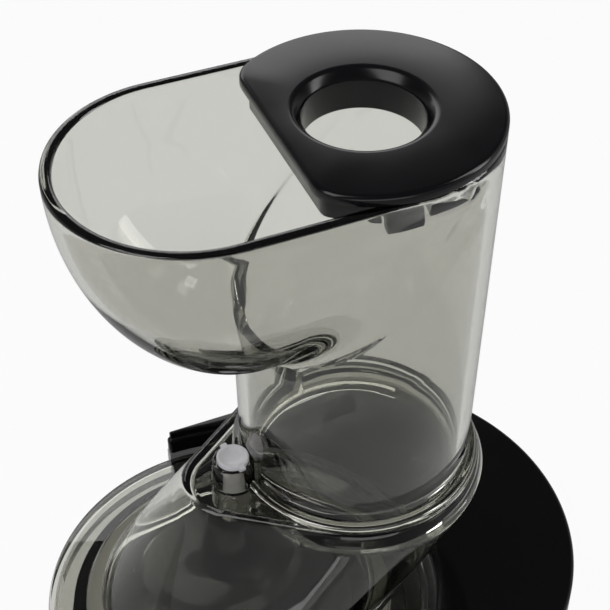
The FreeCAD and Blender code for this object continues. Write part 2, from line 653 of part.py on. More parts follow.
def drum():
    """Drum with a raised floor, central hub, idler pin, juice spout and pulp chute."""
    bowl = disc(DRUM_X, DRUM_Y, DRUM_R, DRUM_SEAT_Z, DRUM_TOP_Z - DRUM_SEAT_Z)
    bowl = bowl.fuse(disc(DRUM_X, DRUM_Y, DRUM_RIM_R, DRUM_TOP_Z - DRUM_RIM_H, DRUM_RIM_H))
    spout_end = SPOUT_REACH
    bowl = bowl.fuse(radial_rod(SPOUT_ANGLE, DRUM_R - 5, spout_end, SPOUT_BORE_R + SPOUT_WALL, SPOUT_Z))
    chute_top = CHUTE_Z + CHUTE_H + SPOUT_WALL
    bowl = bowl.fuse(radial_box(CHUTE_ANGLE, DRUM_R - 5, CHUTE_REACH, CHUTE_W + 2 * SPOUT_WALL,
                                CHUTE_Z - SPOUT_WALL, chute_top))
    inner_r = DRUM_R - DRUM_WALL
    bowl = bowl.cut(disc(DRUM_X, DRUM_Y, inner_r, DRUM_FLOOR_Z, DRUM_TOP_Z))
    under = disc(DRUM_X, DRUM_Y, inner_r, DRUM_SEAT_Z - 1, DRUM_FLOOR_Z - DRUM_WALL - DRUM_SEAT_Z + 1)
    duct = radial_box(CHUTE_ANGLE, CHUTE_IN_R - SPOUT_WALL, inner_r + 1, CHUTE_W + 2 * SPOUT_WALL,
                      CHUTE_Z - SPOUT_WALL, DRUM_FLOOR_Z)
    bowl = bowl.cut(under.cut(duct))
    bowl = bowl.cut(radial_box(CHUTE_ANGLE, CHUTE_IN_R, CHUTE_REACH + 1, CHUTE_W,
                               CHUTE_Z, CHUTE_Z + CHUTE_H))
    bowl = bowl.cut(radial_box(CHUTE_ANGLE, CHUTE_IN_R, CHUTE_IN_R + 16, CHUTE_W,
                               CHUTE_Z + 1, DRUM_FLOOR_Z + 1))
    bowl = bowl.cut(radial_rod(SPOUT_ANGLE, inner_r - 2, spout_end + 1, SPOUT_BORE_R, SPOUT_Z))
    bowl = bowl.fuse(disc(DRUM_X, DRUM_Y, HUB_R, DRUM_FLOOR_Z - DRUM_WALL - 6, DRUM_WALL + 6))
    bowl = bowl.cut(disc(DRUM_X, DRUM_Y, DRIVE_R + 2.0, DRUM_FLOOR_Z - 12, 40))
    bowl = bowl.fuse(disc(IDLER_X, IDLER_Y, PIN_R, DRUM_FLOOR_Z - 1, BRUSH_GEAR_H + 1.5))
    bowl = bowl.fuse(hinge_ears(SPOUT_ANGLE, SPOUT_REACH - 5, SPOUT_Z + SPOUT_BORE_R + SPOUT_WALL,
                                2 * SPOUT_BORE_R))
    chute_ears = hinge_ears(CHUTE_ANGLE, CHUTE_REACH - 5, chute_top, CHUTE_W)
    return bowl.fuse(chute_ears)


EAR_H = 5.0
EAR_W = 2.5


def hinge_ears(angle, radius, z, span):
    """Two ears with a pin hole, standing on a spout."""
    shapes = []
    for s in (1, -1):
        ear = block(DRUM_X + radius - 3, DRUM_X + radius + 3, DRUM_Y - EAR_W / 2, DRUM_Y + EAR_W / 2,
                    z - 2, z + EAR_H)
        ear.translate(at(0, s * (span / 2 - EAR_W / 2), 0))
        shapes.append(ear)
    pair = shapes[0].fuse(shapes[1])
    pair = pair.cut(pin_rod(radius, z, span + 4, 1.5))
    return turned(pair, DRUM_X, DRUM_Y, angle)


def pin_rod(radius, z, length, r):
    """A hinge pin across a spout, before it is turned into place."""
    start = at(DRUM_X + radius, DRUM_Y - length / 2, z + EAR_H - 2.5)
    return Part.makeCylinder(r, length, start, at(0, 1, 0))


def hinge_pin(angle, radius, z, span):
    """A steel hinge pin, as long as its two ears are apart."""
    return turned(pin_rod(radius, z, span, 1.5), DRUM_X, DRUM_Y, angle)


def flap(angle, reach, radius, z, span, low, width):
    """A cover at a spout's mouth with an arm that hangs on the hinge pin."""
    plate = block(DRUM_X + reach + SEAT_GAP, DRUM_X + reach + SEAT_GAP + 2.5,
                  DRUM_Y - width / 2, DRUM_Y + width / 2, low, z + EAR_H)
    inner = span - 2 * EAR_W - 2 * SEAT_GAP
    arm = block(DRUM_X + radius, DRUM_X + reach + SEAT_GAP + 1, DRUM_Y - inner / 2,
                DRUM_Y + inner / 2, z + EAR_H - 4.6, z + EAR_H)
    solid = plate.fuse(arm).fuse(pin_rod(radius, z, inner, 2.2)).cut(pin_rod(radius, z, span + 4, 1.5 + RUN_GAP))
    return turned(solid, DRUM_X, DRUM_Y, angle)


def drum_gasket():
    """Silicone seal in the drum's hub round the drive shaft."""
    z = DRUM_FLOOR_Z - DRUM_WALL - 6
    return ring(DRUM_X, DRUM_Y, DRIVE_R + 2.0, DRIVE_R + RUN_GAP, z, DRUM_WALL + 6)


def idler_gear():
    """Idler that carries the auger's motion to the brush holder, opposite in sense."""
    return gear(IDLER_X, IDLER_Y, BRUSH_GEAR_Z, BRUSH_GEAR_H, BRUSH_MODULE, IDLER_TEETH, IDLER_PHASE,
                PIN_R + RUN_GAP)


def strainer():
    """Strainer: slotted cylinder, floor with a pulp slot, and a wide black rim."""
    wall = ring(DRUM_X, DRUM_Y, STRAINER_R, STRAINER_R - STRAINER_WALL, STRAINER_Z,
                DRUM_TOP_Z + 1.0 - STRAINER_Z)
    floor = ring(DRUM_X, DRUM_Y, STRAINER_R, SOCKET_R + 9.0, STRAINER_Z, 2.5)
    rim_z = DRUM_TOP_Z + 0.02
    rim = ring(DRUM_X, DRUM_Y, STRAINER_RIM_R, STRAINER_R - STRAINER_WALL, rim_z, 2.4)
    lug = radial_box(CHUTE_ANGLE, CHUTE_IN_R - 4, CHUTE_IN_R + 12, CHUTE_W - 4, STRAINER_Z - 1,
                     STRAINER_Z + 4)
    body = wall.fuse(rim).fuse(floor.cut(lug))
    low = STRAINER_Z + 8
    high = DRUM_TOP_Z - 10
    for i in range(STRAINER_SLOTS):
        angle = 360.0 * (i + 0.5) / STRAINER_SLOTS
        for z0, z1 in ((low, (low + high) / 2 - 2), ((low + high) / 2 + 2, high)):
            body = body.cut(radial_box(angle, STRAINER_R - 5, STRAINER_R + 2, SLOT_W, z0, z1))
    return body


def strainer_mesh():
    """Fine metal screen lining the strainer's slots."""
    low = STRAINER_Z + 6
    high = DRUM_TOP_Z - 8
    return ring(DRUM_X, DRUM_Y, STRAINER_R + 0.7, STRAINER_R + 0.15, low, high - low)


def brush_holder():
    """Rotating cage round the strainer: toothed ring below, posts and a plain ring above."""
    pitch_r = BRUSH_MODULE * RING_TEETH / 2
    low = disc(DRUM_X, DRUM_Y, BRUSH_OUT_R + 0.8, BRUSH_GEAR_Z, BRUSH_GEAR_H)
    low = low.cut(internal_teeth(pitch_r))
    body = low
    base_z = BRUSH_GEAR_Z + BRUSH_GEAR_H
    body = body.fuse(ring(DRUM_X, DRUM_Y, BRUSH_OUT_R, BRUSH_IN_R + 4.0, base_z, 4.0))
    for i in range(BRUSH_POSTS):
        post = radial_box(120.0 * i + 60.0, BRUSH_IN_R + 1, BRUSH_OUT_R - 0.6, 9.0, base_z + 3,
                          BRUSH_TOP_Z - 1)
        slot = radial_box(120.0 * i + 60.0, BRUSH_IN_R, BRUSH_OUT_R - 3, 3.0, base_z + 6,
                          BRUSH_TOP_Z - BRUSH_RING_H - 3)
        body = body.fuse(post.cut(slot))
    top = ring(DRUM_X, DRUM_Y, BRUSH_OUT_R, BRUSH_IN_R, BRUSH_TOP_Z - BRUSH_RING_H, BRUSH_RING_H)
    return body.fuse(top)


def internal_teeth(pitch_r):
    """The space inside the toothed ring: a gear-shaped hole that meshes with the idler."""
    module = BRUSH_MODULE
    root_r = pitch_r + 1.1 * module
    tip_r = pitch_r - 0.7 * module
    slope = math.tan(math.radians(20.0))
    half = math.pi * module / 4 - TOOTH_GAP / 2 * module
    idler_off = (IDLER_ANGLE - IDLER_PHASE) / (360.0 / IDLER_TEETH)
    space = IDLER_ANGLE - idler_off * 360.0 / RING_TEETH
    middle_tooth = space + 180.0 / RING_TEETH
    points = []
    for i in range(RING_TEETH):
        middle = math.radians(middle_tooth + 360.0 * i / RING_TEETH)
        low_w = half - 0.7 * module * slope
        high_w = half + 1.1 * module * slope
        for r, w in ((root_r, -high_w), (tip_r, -low_w), (tip_r, low_w), (root_r, high_w)):
            points.append(at(*polar(DRUM_X, DRUM_Y, r, math.degrees(middle + w / r)), BRUSH_GEAR_Z - 1))
    points.append(points[0])
    return Part.Face(Part.makePolygon(points)).extrude(at(0, 0, BRUSH_GEAR_H + 2))


def wiper(index):
    """Silicone wiper blade in a post of the brush holder."""
    base_z = BRUSH_GEAR_Z + BRUSH_GEAR_H
    return radial_box(120.0 * index + 60.0, BRUSH_IN_R - 2, BRUSH_OUT_R - 3, 2.98, base_z + 6.01,
                      BRUSH_TOP_Z - BRUSH_RING_H - 3.01)


def auger_envelope(grow):
    """Turned outline of the auger: straight inside the strainer, tapering under the lid's dome."""
    profile = [(0, AUGER_Z), (AUGER_R + grow, AUGER_Z), (AUGER_R + grow, DRUM_TOP_Z + 1),
               (19.0 + grow, AUGER_TOP_Z - 4), (0, AUGER_TOP_Z - 4)]
    points = [at(DRUM_X + r, DRUM_Y, z) for r, z in profile]
    points.append(points[0])
    face = Part.Face(Part.makePolygon(points))
    return face.revolve(at(DRUM_X, DRUM_Y), at(0, 0, 1), 360)


def auger():
    """Screw auger: tapered core, one helical flight, gear below and journal on top."""
    core = cone(DRUM_X, DRUM_Y, AUGER_CORE_LOW_R, AUGER_CORE_TOP_R, AUGER_Z, AUGER_TOP_Z - AUGER_Z)
    helix = Part.makeHelix(AUGER_PITCH, AUGER_TOP_Z - AUGER_Z - 12, AUGER_R)
    helix.translate(at(DRUM_X, DRUM_Y, AUGER_Z + 3))
    r0 = DRUM_X + 6
    r1 = DRUM_X + AUGER_R + 2
    z0 = AUGER_Z + 3 - FLIGHT_W / 2
    corners = [at(r0, DRUM_Y, z0), at(r1, DRUM_Y, z0), at(r1, DRUM_Y, z0 + FLIGHT_W),
               at(r0, DRUM_Y, z0 + FLIGHT_W), at(r0, DRUM_Y, z0)]
    flight = Part.Wire(helix).makePipeShell([Part.makePolygon(corners)], True, True)
    flight = flight.common(auger_envelope(0))
    screw_body = core.fuse(flight)
    neck_z = BRUSH_GEAR_Z + BRUSH_GEAR_H
    screw_body = screw_body.fuse(disc(DRUM_X, DRUM_Y, SOCKET_R + 7.0, neck_z, AUGER_Z - neck_z + 1))
    screw_body = screw_body.fuse(gear(DRUM_X, DRUM_Y, BRUSH_GEAR_Z, BRUSH_GEAR_H, BRUSH_MODULE,
                                      AUGER_TEETH, AUGER_PHASE, 0))
    journal_top = PLATFORM_Z + BOSS_H - 4
    screw_body = screw_body.fuse(disc(DRUM_X, DRUM_Y, JOURNAL_R, AUGER_TOP_Z - 1,
                                      journal_top - AUGER_TOP_Z + 1))
    return screw_body.cut(disc(DRUM_X, DRUM_Y, SOCKET_R, BRUSH_GEAR_Z - 1, HEX_TOP_Z + 8 - BRUSH_GEAR_Z))


def auger_socket():
    """Steel insert in the auger's base with the hexagonal socket for the drive shaft."""
    z = BRUSH_GEAR_Z
    body = disc(DRUM_X, DRUM_Y, SOCKET_R, z, HEX_TOP_Z + 7 - z)
    return body.cut(hex_prism(HEX_FLATS + 0.3, z - 1, HEX_TOP_Z + 2 - z))


# ---- drum lid ----
def drum_lid():
    """Clear dome from the round neck to the teardrop platform, with flange, collar and boss."""
    crease_normal = math.acos((CREASE_BOSS_R - CREASE_TUBE_R) / AXIS_GAP)
    first = math.radians(100.0)

    def dome(inset, drop, foot_z):
        neck = split_circle_wire(DRUM_X, LID_NECK_R - inset, DRUM_Y, LID_NECK_Z, first, crease_normal)
        crease = hull_wire(DRUM_X, CREASE_BOSS_R - inset, TUBE_X, CREASE_TUBE_R - inset, DRUM_Y,
                           CREASE_Z - drop, crease_normal)
        platform = hull_wire(DRUM_X, PLATFORM_BOSS_R - inset, TUBE_X, PLATFORM_TUBE_R - inset, DRUM_Y,
                             PLATFORM_Z - drop)
        skirt = Part.makeLoft([neck, crease], True, True)
        shoulder = Part.makeLoft([crease, platform], True, True)
        foot = disc(DRUM_X, DRUM_Y, LID_NECK_R - inset, foot_z, LID_NECK_Z - foot_z)
        return skirt.fuse(shoulder).fuse(foot)

    shell = dome(0, 0, LID_FLANGE_Z).cut(dome(LID_WALL, LID_WALL, LID_FLANGE_Z - 1))
    shell = shell.fuse(ring(DRUM_X, DRUM_Y, FLANGE_R, LID_NECK_R - LID_WALL, LID_FLANGE_Z, LID_FLANGE_H))
    skirt_z = LID_FLANGE_Z + LID_FLANGE_H - LID_SKIRT_H
    shell = shell.fuse(ring(DRUM_X, DRUM_Y, FLANGE_R, DRUM_RIM_R + SEAT_GAP + 0.2, skirt_z, LID_SKIRT_H))
    shell = shell.fuse(ring(DRUM_X, DRUM_Y, LID_NECK_R + 6, LID_NECK_R - LID_WALL, LID_FLANGE_Z, 5.5))
    collar = disc(TUBE_X, TUBE_Y, PLATFORM_TUBE_R - 1.0, LEDGE_Z - 3, PLATFORM_Z - LEDGE_Z + 2.0)
    shell = shell.fuse(collar)
    shell = shell.cut(disc(TUBE_X, TUBE_Y, SPIGOT_R + SEAT_GAP, LEDGE_Z, 40))
    shell = shell.cut(disc(TUBE_X, TUBE_Y, FEED_R, LEDGE_Z - 3.5, 60))
    boss = cone(DRUM_X, DRUM_Y, BOSS_BASE_R - 0.2, BOSS_TOP_R, PLATFORM_Z + 0.4, BOSS_H - 0.4)
    sleeve = disc(DRUM_X, DRUM_Y, BOSS_BASE_R, AUGER_TOP_Z + 3, PLATFORM_Z - AUGER_TOP_Z - 3 + 0.5)
    shell = shell.fuse(boss).fuse(sleeve)
    return shell.cut(disc(DRUM_X, DRUM_Y, BUSH_R, AUGER_TOP_Z, 60))


def auger_top_bush():
    """White bush that carries the auger's journal in the lid's boss, with a dished head."""
    low = AUGER_TOP_Z + 3
    head_z = PLATFORM_Z + BOSS_H
    body = disc(DRUM_X, DRUM_Y, BUSH_R - RUN_GAP, low, head_z - low + 1.6)
    for angle in (100.0, 280.0):
        body = body.fuse(radial_box(angle, 3.0, BUSH_R + 1.4, 2.4, head_z + 0.02, head_z + 1.6))
    bowl = Part.makeSphere(9.0, at(DRUM_X, DRUM_Y, head_z + 1.6 + 8.2))
    body = body.cut(bowl)
    return body.cut(disc(DRUM_X, DRUM_Y, JOURNAL_R + RUN_GAP, low - 1, head_z - 3.5 - low + 1))


def lid_seal():
    """Rubber ring between the strainer's rim and the lid's flange."""
    z = DRUM_TOP_Z + 2.42
    return ring(DRUM_X, DRUM_Y, LID_NECK_R + 6, LID_NECK_R - 1, z, LID_FLANGE_Z - 0.02 - z)


# ---- hopper ----
def tray_section(inset, t):
    """Tray outline at a share of its depth, as half width, left end and depth."""
    power = 2.0 / TRAY_POWER
    angle = t * math.pi / 2
    width = (RIM_R - inset) * math.cos(angle) ** power
    down = math.sin(angle) ** power
    reach = TRAY_REACH - TRAY_RUN - inset + TRAY_RUN * math.sqrt(max(0.0, 1.0 - down * down))
    return width, reach, down * (TRAY_DEPTH - inset)


def tray_solid(inset, right):
    """Rounded tray volume from the rim down, closed at the right inside the feed tube."""
    wires = []
    for i in range(TRAY_STEPS):
        width, reach, depth = tray_section(inset, 0.95 * i / (TRAY_STEPS - 1))
        z = RIM_Z - depth
        x = TUBE_X - reach + width
        a = at(right, TUBE_Y - width, z)
        b = at(right, TUBE_Y + width, z)
        c = at(x, TUBE_Y + width, z)
        d = at(x - width, TUBE_Y, z)
        e = at(x, TUBE_Y - width, z)
        wires.append(Part.Wire([Part.LineSegment(a, b).toShape(), Part.LineSegment(b, c).toShape(),
                                Part.Arc(c, d, e).toShape(), Part.LineSegment(e, a).toShape()]))
    return Part.makeLoft(wires, True, False)


def hopper():
    """Clear hopper: round feed tube with a spigot, and a rounded tray that opens into it."""
    spigot_z = LEDGE_Z + SEAT_GAP
    foot_z = PLATFORM_Z + SEAT_GAP
    outer = cone(TUBE_X, TUBE_Y, SPIGOT_R, RIM_R, foot_z, RIM_Z - foot_z)
    outer = outer.fuse(tray_solid(0, TUBE_X - 1.0))
    outer = outer.fuse(disc(TUBE_X, TUBE_Y, SPIGOT_R, spigot_z, foot_z - spigot_z + 1))
    outer = outer.fuse(disc(TUBE_X, TUBE_Y, BEAD_R, foot_z, BEAD_H))
    inner = cone(TUBE_X, TUBE_Y, FEED_R, RIM_R - RIM_WALL, spigot_z, RIM_Z - spigot_z)
    room = tray_solid(TRAY_WALL, TUBE_X - 1.0)
    top = disc(TUBE_X, TUBE_Y, RIM_R - RIM_WALL, RIM_Z - 0.01, 2)
    shell = outer.cut(inner).cut(room).cut(top)
    return shell.cut(disc(DRUM_X, DRUM_Y, BOSS_BASE_R + SEAT_GAP, spigot_z - 1,
                          PLATFORM_Z + BOSS_H + 4 - spigot_z))


def hopper_lid():
    """Black lid over the feed tube: flat left side, holed collar, skirt and two snap tabs."""
    z = RIM_Z + 0.05
    plate = disc(TUBE_X, TUBE_Y, RIM_R, z, HOOD_H)
    cut_x = TUBE_X - HOOD_CUT
    plate = plate.cut(block(TUBE_X - 2 * RIM_R, cut_x, TUBE_Y - RIM_R, TUBE_Y + RIM_R, z - 1, z + 9))
    corners = [e for e in plate.Edges if len(e.Vertexes) == 2
               and abs(e.Vertexes[0].X - cut_x) < 0.01 and abs(e.Vertexes[1].X - cut_x) < 0.01
               and abs(e.BoundBox.ZLength - HOOD_H) < 0.01]
    plate = plate.makeFillet(HOOD_CORNER_R, corners)
    rim_edges = [e for e in plate.Edges if e.BoundBox.ZMin > z + HOOD_H - 0.01]
    plate = plate.makeFillet(1.2, rim_edges)
    skirt_r = RIM_R - RIM_WALL - HOOD_GAP
    skirt = ring(TUBE_X, TUBE_Y, skirt_r, skirt_r - HOOD_SKIRT_W, z - HOOD_SKIRT_H, HOOD_SKIRT_H + 0.5)
    flat = block(cut_x + 3, cut_x + 3 + HOOD_SKIRT_W, TUBE_Y - 27, TUBE_Y + 27, z - HOOD_SKIRT_H, z + 0.5)
    skirt = skirt.cut(block(TUBE_X - 2 * RIM_R, cut_x + 3, TUBE_Y - RIM_R, TUBE_Y + RIM_R, z - 20, z + 9))
    lid = plate.fuse(skirt).fuse(flat.common(disc(TUBE_X, TUBE_Y, skirt_r, 0, 900)))
    lid = lid.fuse(disc(TUBE_X, TUBE_Y, HOLE_R + COLLAR_W, z + HOOD_H - COLLAR_H, COLLAR_H - 0.5))
    lid = lid.cut(disc(TUBE_X, TUBE_Y, HOLE_R, z - 30, 60))
    lid = lid.cut(cone(TUBE_X, TUBE_Y, HOLE_R, HOLE_R + HOLE_LIP, z + HOOD_H - HOLE_LIP, HOLE_LIP + 0.01))
    for s in (1, -1):
        lid = add_snap_tab(lid, s * TAB_ANGLE, z, skirt_r)
    return lid


def add_snap_tab(lid, angle, z, skirt_r):
    """A springy tab cut free from the skirt by two slits, with a hooked lower edge."""
    half = TAB_W / 2
    r0 = skirt_r - HOOD_SKIRT_W - 1
    window = block(TUBE_X + r0, TUBE_X + skirt_r + 1, TUBE_Y - half - TAB_SLIT,
                   TUBE_Y + half + TAB_SLIT, z - HOOD_SKIRT_H - 1, z - 0.01)
    lid = lid.cut(turned(window, TUBE_X, TUBE_Y, angle))
    wide = disc(TUBE_X, TUBE_Y, skirt_r, z - TAB_H, TAB_H + 0.5)
    tongue = block(TUBE_X + skirt_r - 3.4, TUBE_X + skirt_r - 1.6, TUBE_Y - half, TUBE_Y + half,
                   z - TAB_H, z + 0.5)
    hook = block(TUBE_X + skirt_r - 3.4, TUBE_X + skirt_r + 1, TUBE_Y - half, TUBE_Y + half,
                 z - TAB_H, z - TAB_H + TAB_LEDGE)
    tab = tongue.fuse(hook).common(wide)
    return lid.fuse(turned(tab, TUBE_X, TUBE_Y, angle))


def build():
    """Every node of the juicer, by name."""
    spout_top = SPOUT_Z + SPOUT_BORE_R + SPOUT_WALL
    chute_top = CHUTE_Z + CHUTE_H + SPOUT_WALL
    nodes = {
        "base_housing": base_housing(), "bottom_plate": bottom_plate(), "base_screws": base_screws(),
        "top_cover": top_cover(), "rear_rail": rear_rail(),
        "gearbox_housing": gearbox_housing(), "gearbox_cover": gearbox_cover(),
        "gearbox_screws": gearbox_screws(),
        "gear_pin_1": gear_pin(PIN_1_X), "gear_pin_2": gear_pin(PIN_2_X),
        "compound_gear_1": compound_gear(PIN_1_X, 0, PHASE_1),
        "compound_gear_2": compound_gear(PIN_2_X, 1, PHASE_2),
        "output_gear": output_gear(), "drive_shaft": drive_shaft(), "shaft_seal": shaft_seal(),
        "output_bearing_lower": bush(OUT_X, BEARING_R + 2, DRIVE_R, CASE_Z + CASE_FLOOR, BEARING_H - 1),
        "output_bearing_upper": bush(OUT_X, BEARING_R + 2, DRIVE_R, CASE_TOP_Z + 2, BEARING_H + 2),
        "motor_can": motor_can(), "motor_magnets": motor_magnets(), "motor_end_cap": motor_end_cap(),
        "motor_rotor": rotor(), "motor_shaft": motor_shaft(), "motor_pinion": motor_pinion(),
        "motor_fan": motor_fan(),
        "motor_bearing_lower": bush(MOTOR_X, BEARING_R, MOTOR_SHAFT_R, MOTOR_Z, BEARING_H),
        "motor_bearing_upper": bush(MOTOR_X, BEARING_R, MOTOR_SHAFT_R, MOTOR_Z + MOTOR_H, 5),
        "control_knob": control_knob(), "knob_shaft": knob_shaft(), "switch_body": switch_body(),
        "control_board": control_board(), "cord_inlet": cord_inlet(),
        "drum": drum(), "drum_gasket": drum_gasket(), "idler_gear": idler_gear(),
        "juice_cap": flap(SPOUT_ANGLE, SPOUT_REACH, SPOUT_REACH - 5, spout_top, 2 * SPOUT_BORE_R,
                          SPOUT_Z - SPOUT_BORE_R - SPOUT_WALL, 2 * (SPOUT_BORE_R + SPOUT_WALL)),
        "juice_cap_pin": hinge_pin(SPOUT_ANGLE, SPOUT_REACH - 5, spout_top, 2 * SPOUT_BORE_R),
        "pulp_gate": flap(CHUTE_ANGLE, CHUTE_REACH, CHUTE_REACH - 5, chute_top, CHUTE_W,
                          CHUTE_Z - SPOUT_WALL, CHUTE_W + 2 * SPOUT_WALL),
        "pulp_gate_pin": hinge_pin(CHUTE_ANGLE, CHUTE_REACH - 5, chute_top, CHUTE_W),
        "strainer": strainer(), "strainer_mesh": strainer_mesh(), "brush_holder": brush_holder(),
        "auger": auger(), "auger_socket": auger_socket(),
        "drum_lid": drum_lid(), "auger_top_bush": auger_top_bush(), "lid_seal": lid_seal(),
        "hopper": hopper(), "hopper_lid": hopper_lid(),
    }
    for i, (x, y) in enumerate(FOOT_SPOTS):
        nodes["foot_%d" % (i + 1)] = foot(x, y)
    for i in range(BRUSH_POSTS):
        nodes["wiper_%d" % (i + 1)] = wiper(i)
    return nodes


for name, shape in build().items():
    shape.exportStep("parts/%s.step" % name)
    low, high = shape.BoundBox, shape.BoundBox
    print("%-22s solids %d valid %s vol %10.1f  z %.1f..%.1f" % (
        name, len(shape.Solids), shape.isValid(), shape.Volume, low.ZMin, high.ZMax))
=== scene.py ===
import logging
import math
from dataclasses import dataclass, field
from enum import Enum
from typing import Iterable, Sequence

import bmesh
import bpy
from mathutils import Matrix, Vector


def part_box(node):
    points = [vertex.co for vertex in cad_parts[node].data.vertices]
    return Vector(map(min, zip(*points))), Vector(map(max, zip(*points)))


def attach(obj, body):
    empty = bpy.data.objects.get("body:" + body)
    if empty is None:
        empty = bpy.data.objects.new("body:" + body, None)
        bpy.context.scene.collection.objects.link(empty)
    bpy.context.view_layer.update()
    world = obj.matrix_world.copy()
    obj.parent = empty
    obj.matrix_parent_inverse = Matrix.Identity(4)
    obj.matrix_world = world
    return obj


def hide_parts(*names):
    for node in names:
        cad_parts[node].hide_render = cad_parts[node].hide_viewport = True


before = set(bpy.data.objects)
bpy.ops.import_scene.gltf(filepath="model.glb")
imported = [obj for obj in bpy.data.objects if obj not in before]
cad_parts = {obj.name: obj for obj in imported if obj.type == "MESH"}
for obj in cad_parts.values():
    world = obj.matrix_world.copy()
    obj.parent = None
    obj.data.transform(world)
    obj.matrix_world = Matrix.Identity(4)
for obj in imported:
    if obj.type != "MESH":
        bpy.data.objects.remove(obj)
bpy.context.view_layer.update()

LOG = logging.getLogger("slow_juicer")
MM = 0.001
TURN = 2.0 * math.pi
Ring = list[Vector]


# ---------------------------------------------------------------- small tools
def linear(hex_colour: str) -> tuple[float, float, float, float]:
    """Turn an sRGB hex colour into linear light.

    Args:
        hex_colour: Six hex digits, such as "1b1b1e".

    Returns:
        Red, green, blue and an alpha of 1.
    """
    values = []
    for start in (0, 2, 4):
        share = int(hex_colour[start:start + 2], 16) / 255.0
        values.append(share / 12.92 if share <= 0.04045 else ((share + 0.055) / 1.055) ** 2.4)
    return values[0], values[1], values[2], 1.0


def add_node(tree: bpy.types.NodeTree, kind: str, inputs: dict | None = None, **settings: object) -> bpy.types.Node:
    """Add a node, set its properties, and fill or link its inputs.

    Args:
        tree: The node tree.
        kind: The node's type name.
        inputs: Input name or index to a value, or to a socket to link from.
        **settings: Properties of the node itself.

    Returns:
        The new node.
    """
    node = tree.nodes.new(kind)
    for name, value in settings.items():
        setattr(node, name, value)
    for key, value in (inputs or {}).items():
        if isinstance(value, bpy.types.NodeSocket):
            tree.links.new(value, node.inputs[key])
        else:
            node.inputs[key].default_value = value
    return node


def polar(centre: Vector, radius: float, degrees: float, height: float = 0.0) -> Vector:
    """A point at a radius and an angle from a vertical axis through centre, at a height."""
    angle = math.radians(degrees)
    return Vector((centre.x + radius * math.cos(angle), centre.y + radius * math.sin(angle), height))


# ---------------------------------------------------------------- finishes
class Pattern(Enum):
    """What the surface of a finish looks like close up."""

    POLISHED = "polished"
    MOULDED = "moulded"
    TURNED = "turned"
    SPRAYED = "sprayed"


@dataclass(frozen=True)
class Finish:
    """An opaque finish: a base colour that wanders a little, with its own grain.

    Attributes:
        name: The real material's name.
        colour: sRGB hex of the main colour.
        shade: sRGB hex of the colour it wanders to.
        roughness: Mean roughness.
        metallic: Metallic share.
        pattern: Kind of surface.
        grain: Size of the grain in millimetres.
        depth: Height of the grain in millimetres.
        coat: Clear coat weight.
        gloss: Specular level, where 0.5 is a plain plastic.
    """

    name: str
    colour: str
    shade: str
    roughness: float
    metallic: float = 0.0
    pattern: Pattern = Pattern.MOULDED
    grain: float = 0.8
    depth: float = 0.01
    coat: float = 0.0
    gloss: float = 0.5

    def material(self) -> bpy.types.Material:
        """Build the node material for this finish, once."""
        made = bpy.data.materials.get(self.name)
        if made is not None and made.users:
            return made
        made = bpy.data.materials.new(self.name)
        made.use_nodes = True
        tree = made.node_tree
        shader = tree.nodes["Principled BSDF"]
        place = add_node(tree, "ShaderNodeTexCoord").outputs["Object"]
        if self.pattern is Pattern.TURNED:
            place = add_node(tree, "ShaderNodeMapping", {"Vector": place, "Scale": (0.05, 0.05, 1.0)}).outputs["Vector"]
        cloud = add_node(tree, "ShaderNodeTexNoise", {"Vector": place, "Scale": 1.0 / (30.0 * MM), "Detail": 3.0})
        grain = add_node(tree, "ShaderNodeTexNoise", {"Vector": place, "Scale": 1.0 / (self.grain * MM), "Detail": 2.0})
        colour = add_node(tree, "ShaderNodeMix", {0: cloud.outputs["Fac"], 6: linear(self.colour), 7: linear(self.shade)},
                          data_type="RGBA")
        spread = {Pattern.POLISHED: 0.2, Pattern.SPRAYED: 0.04}.get(self.pattern, 0.35)
        rough = add_node(tree, "ShaderNodeMapRange", {
            "Value": cloud.outputs["Fac"], "From Min": 0.3, "From Max": 0.7,
            "To Min": self.roughness * (1.0 - spread), "To Max": self.roughness * (1.0 + spread)})
        bump = add_node(tree, "ShaderNodeBump", {"Height": grain.outputs["Fac"], "Distance": self.depth * MM, "Strength": 0.6})
        tree.links.new(colour.outputs[2], shader.inputs["Base Color"])
        tree.links.new(rough.outputs["Result"], shader.inputs["Roughness"])
        tree.links.new(bump.outputs["Normal"], shader.inputs["Normal"])
        shader.inputs["Metallic"].default_value = self.metallic
        shader.inputs["Coat Weight"].default_value = self.coat
        shader.inputs["Coat Roughness"].default_value = 0.06
        shader.inputs["Specular IOR Level"].default_value = self.gloss
        return made


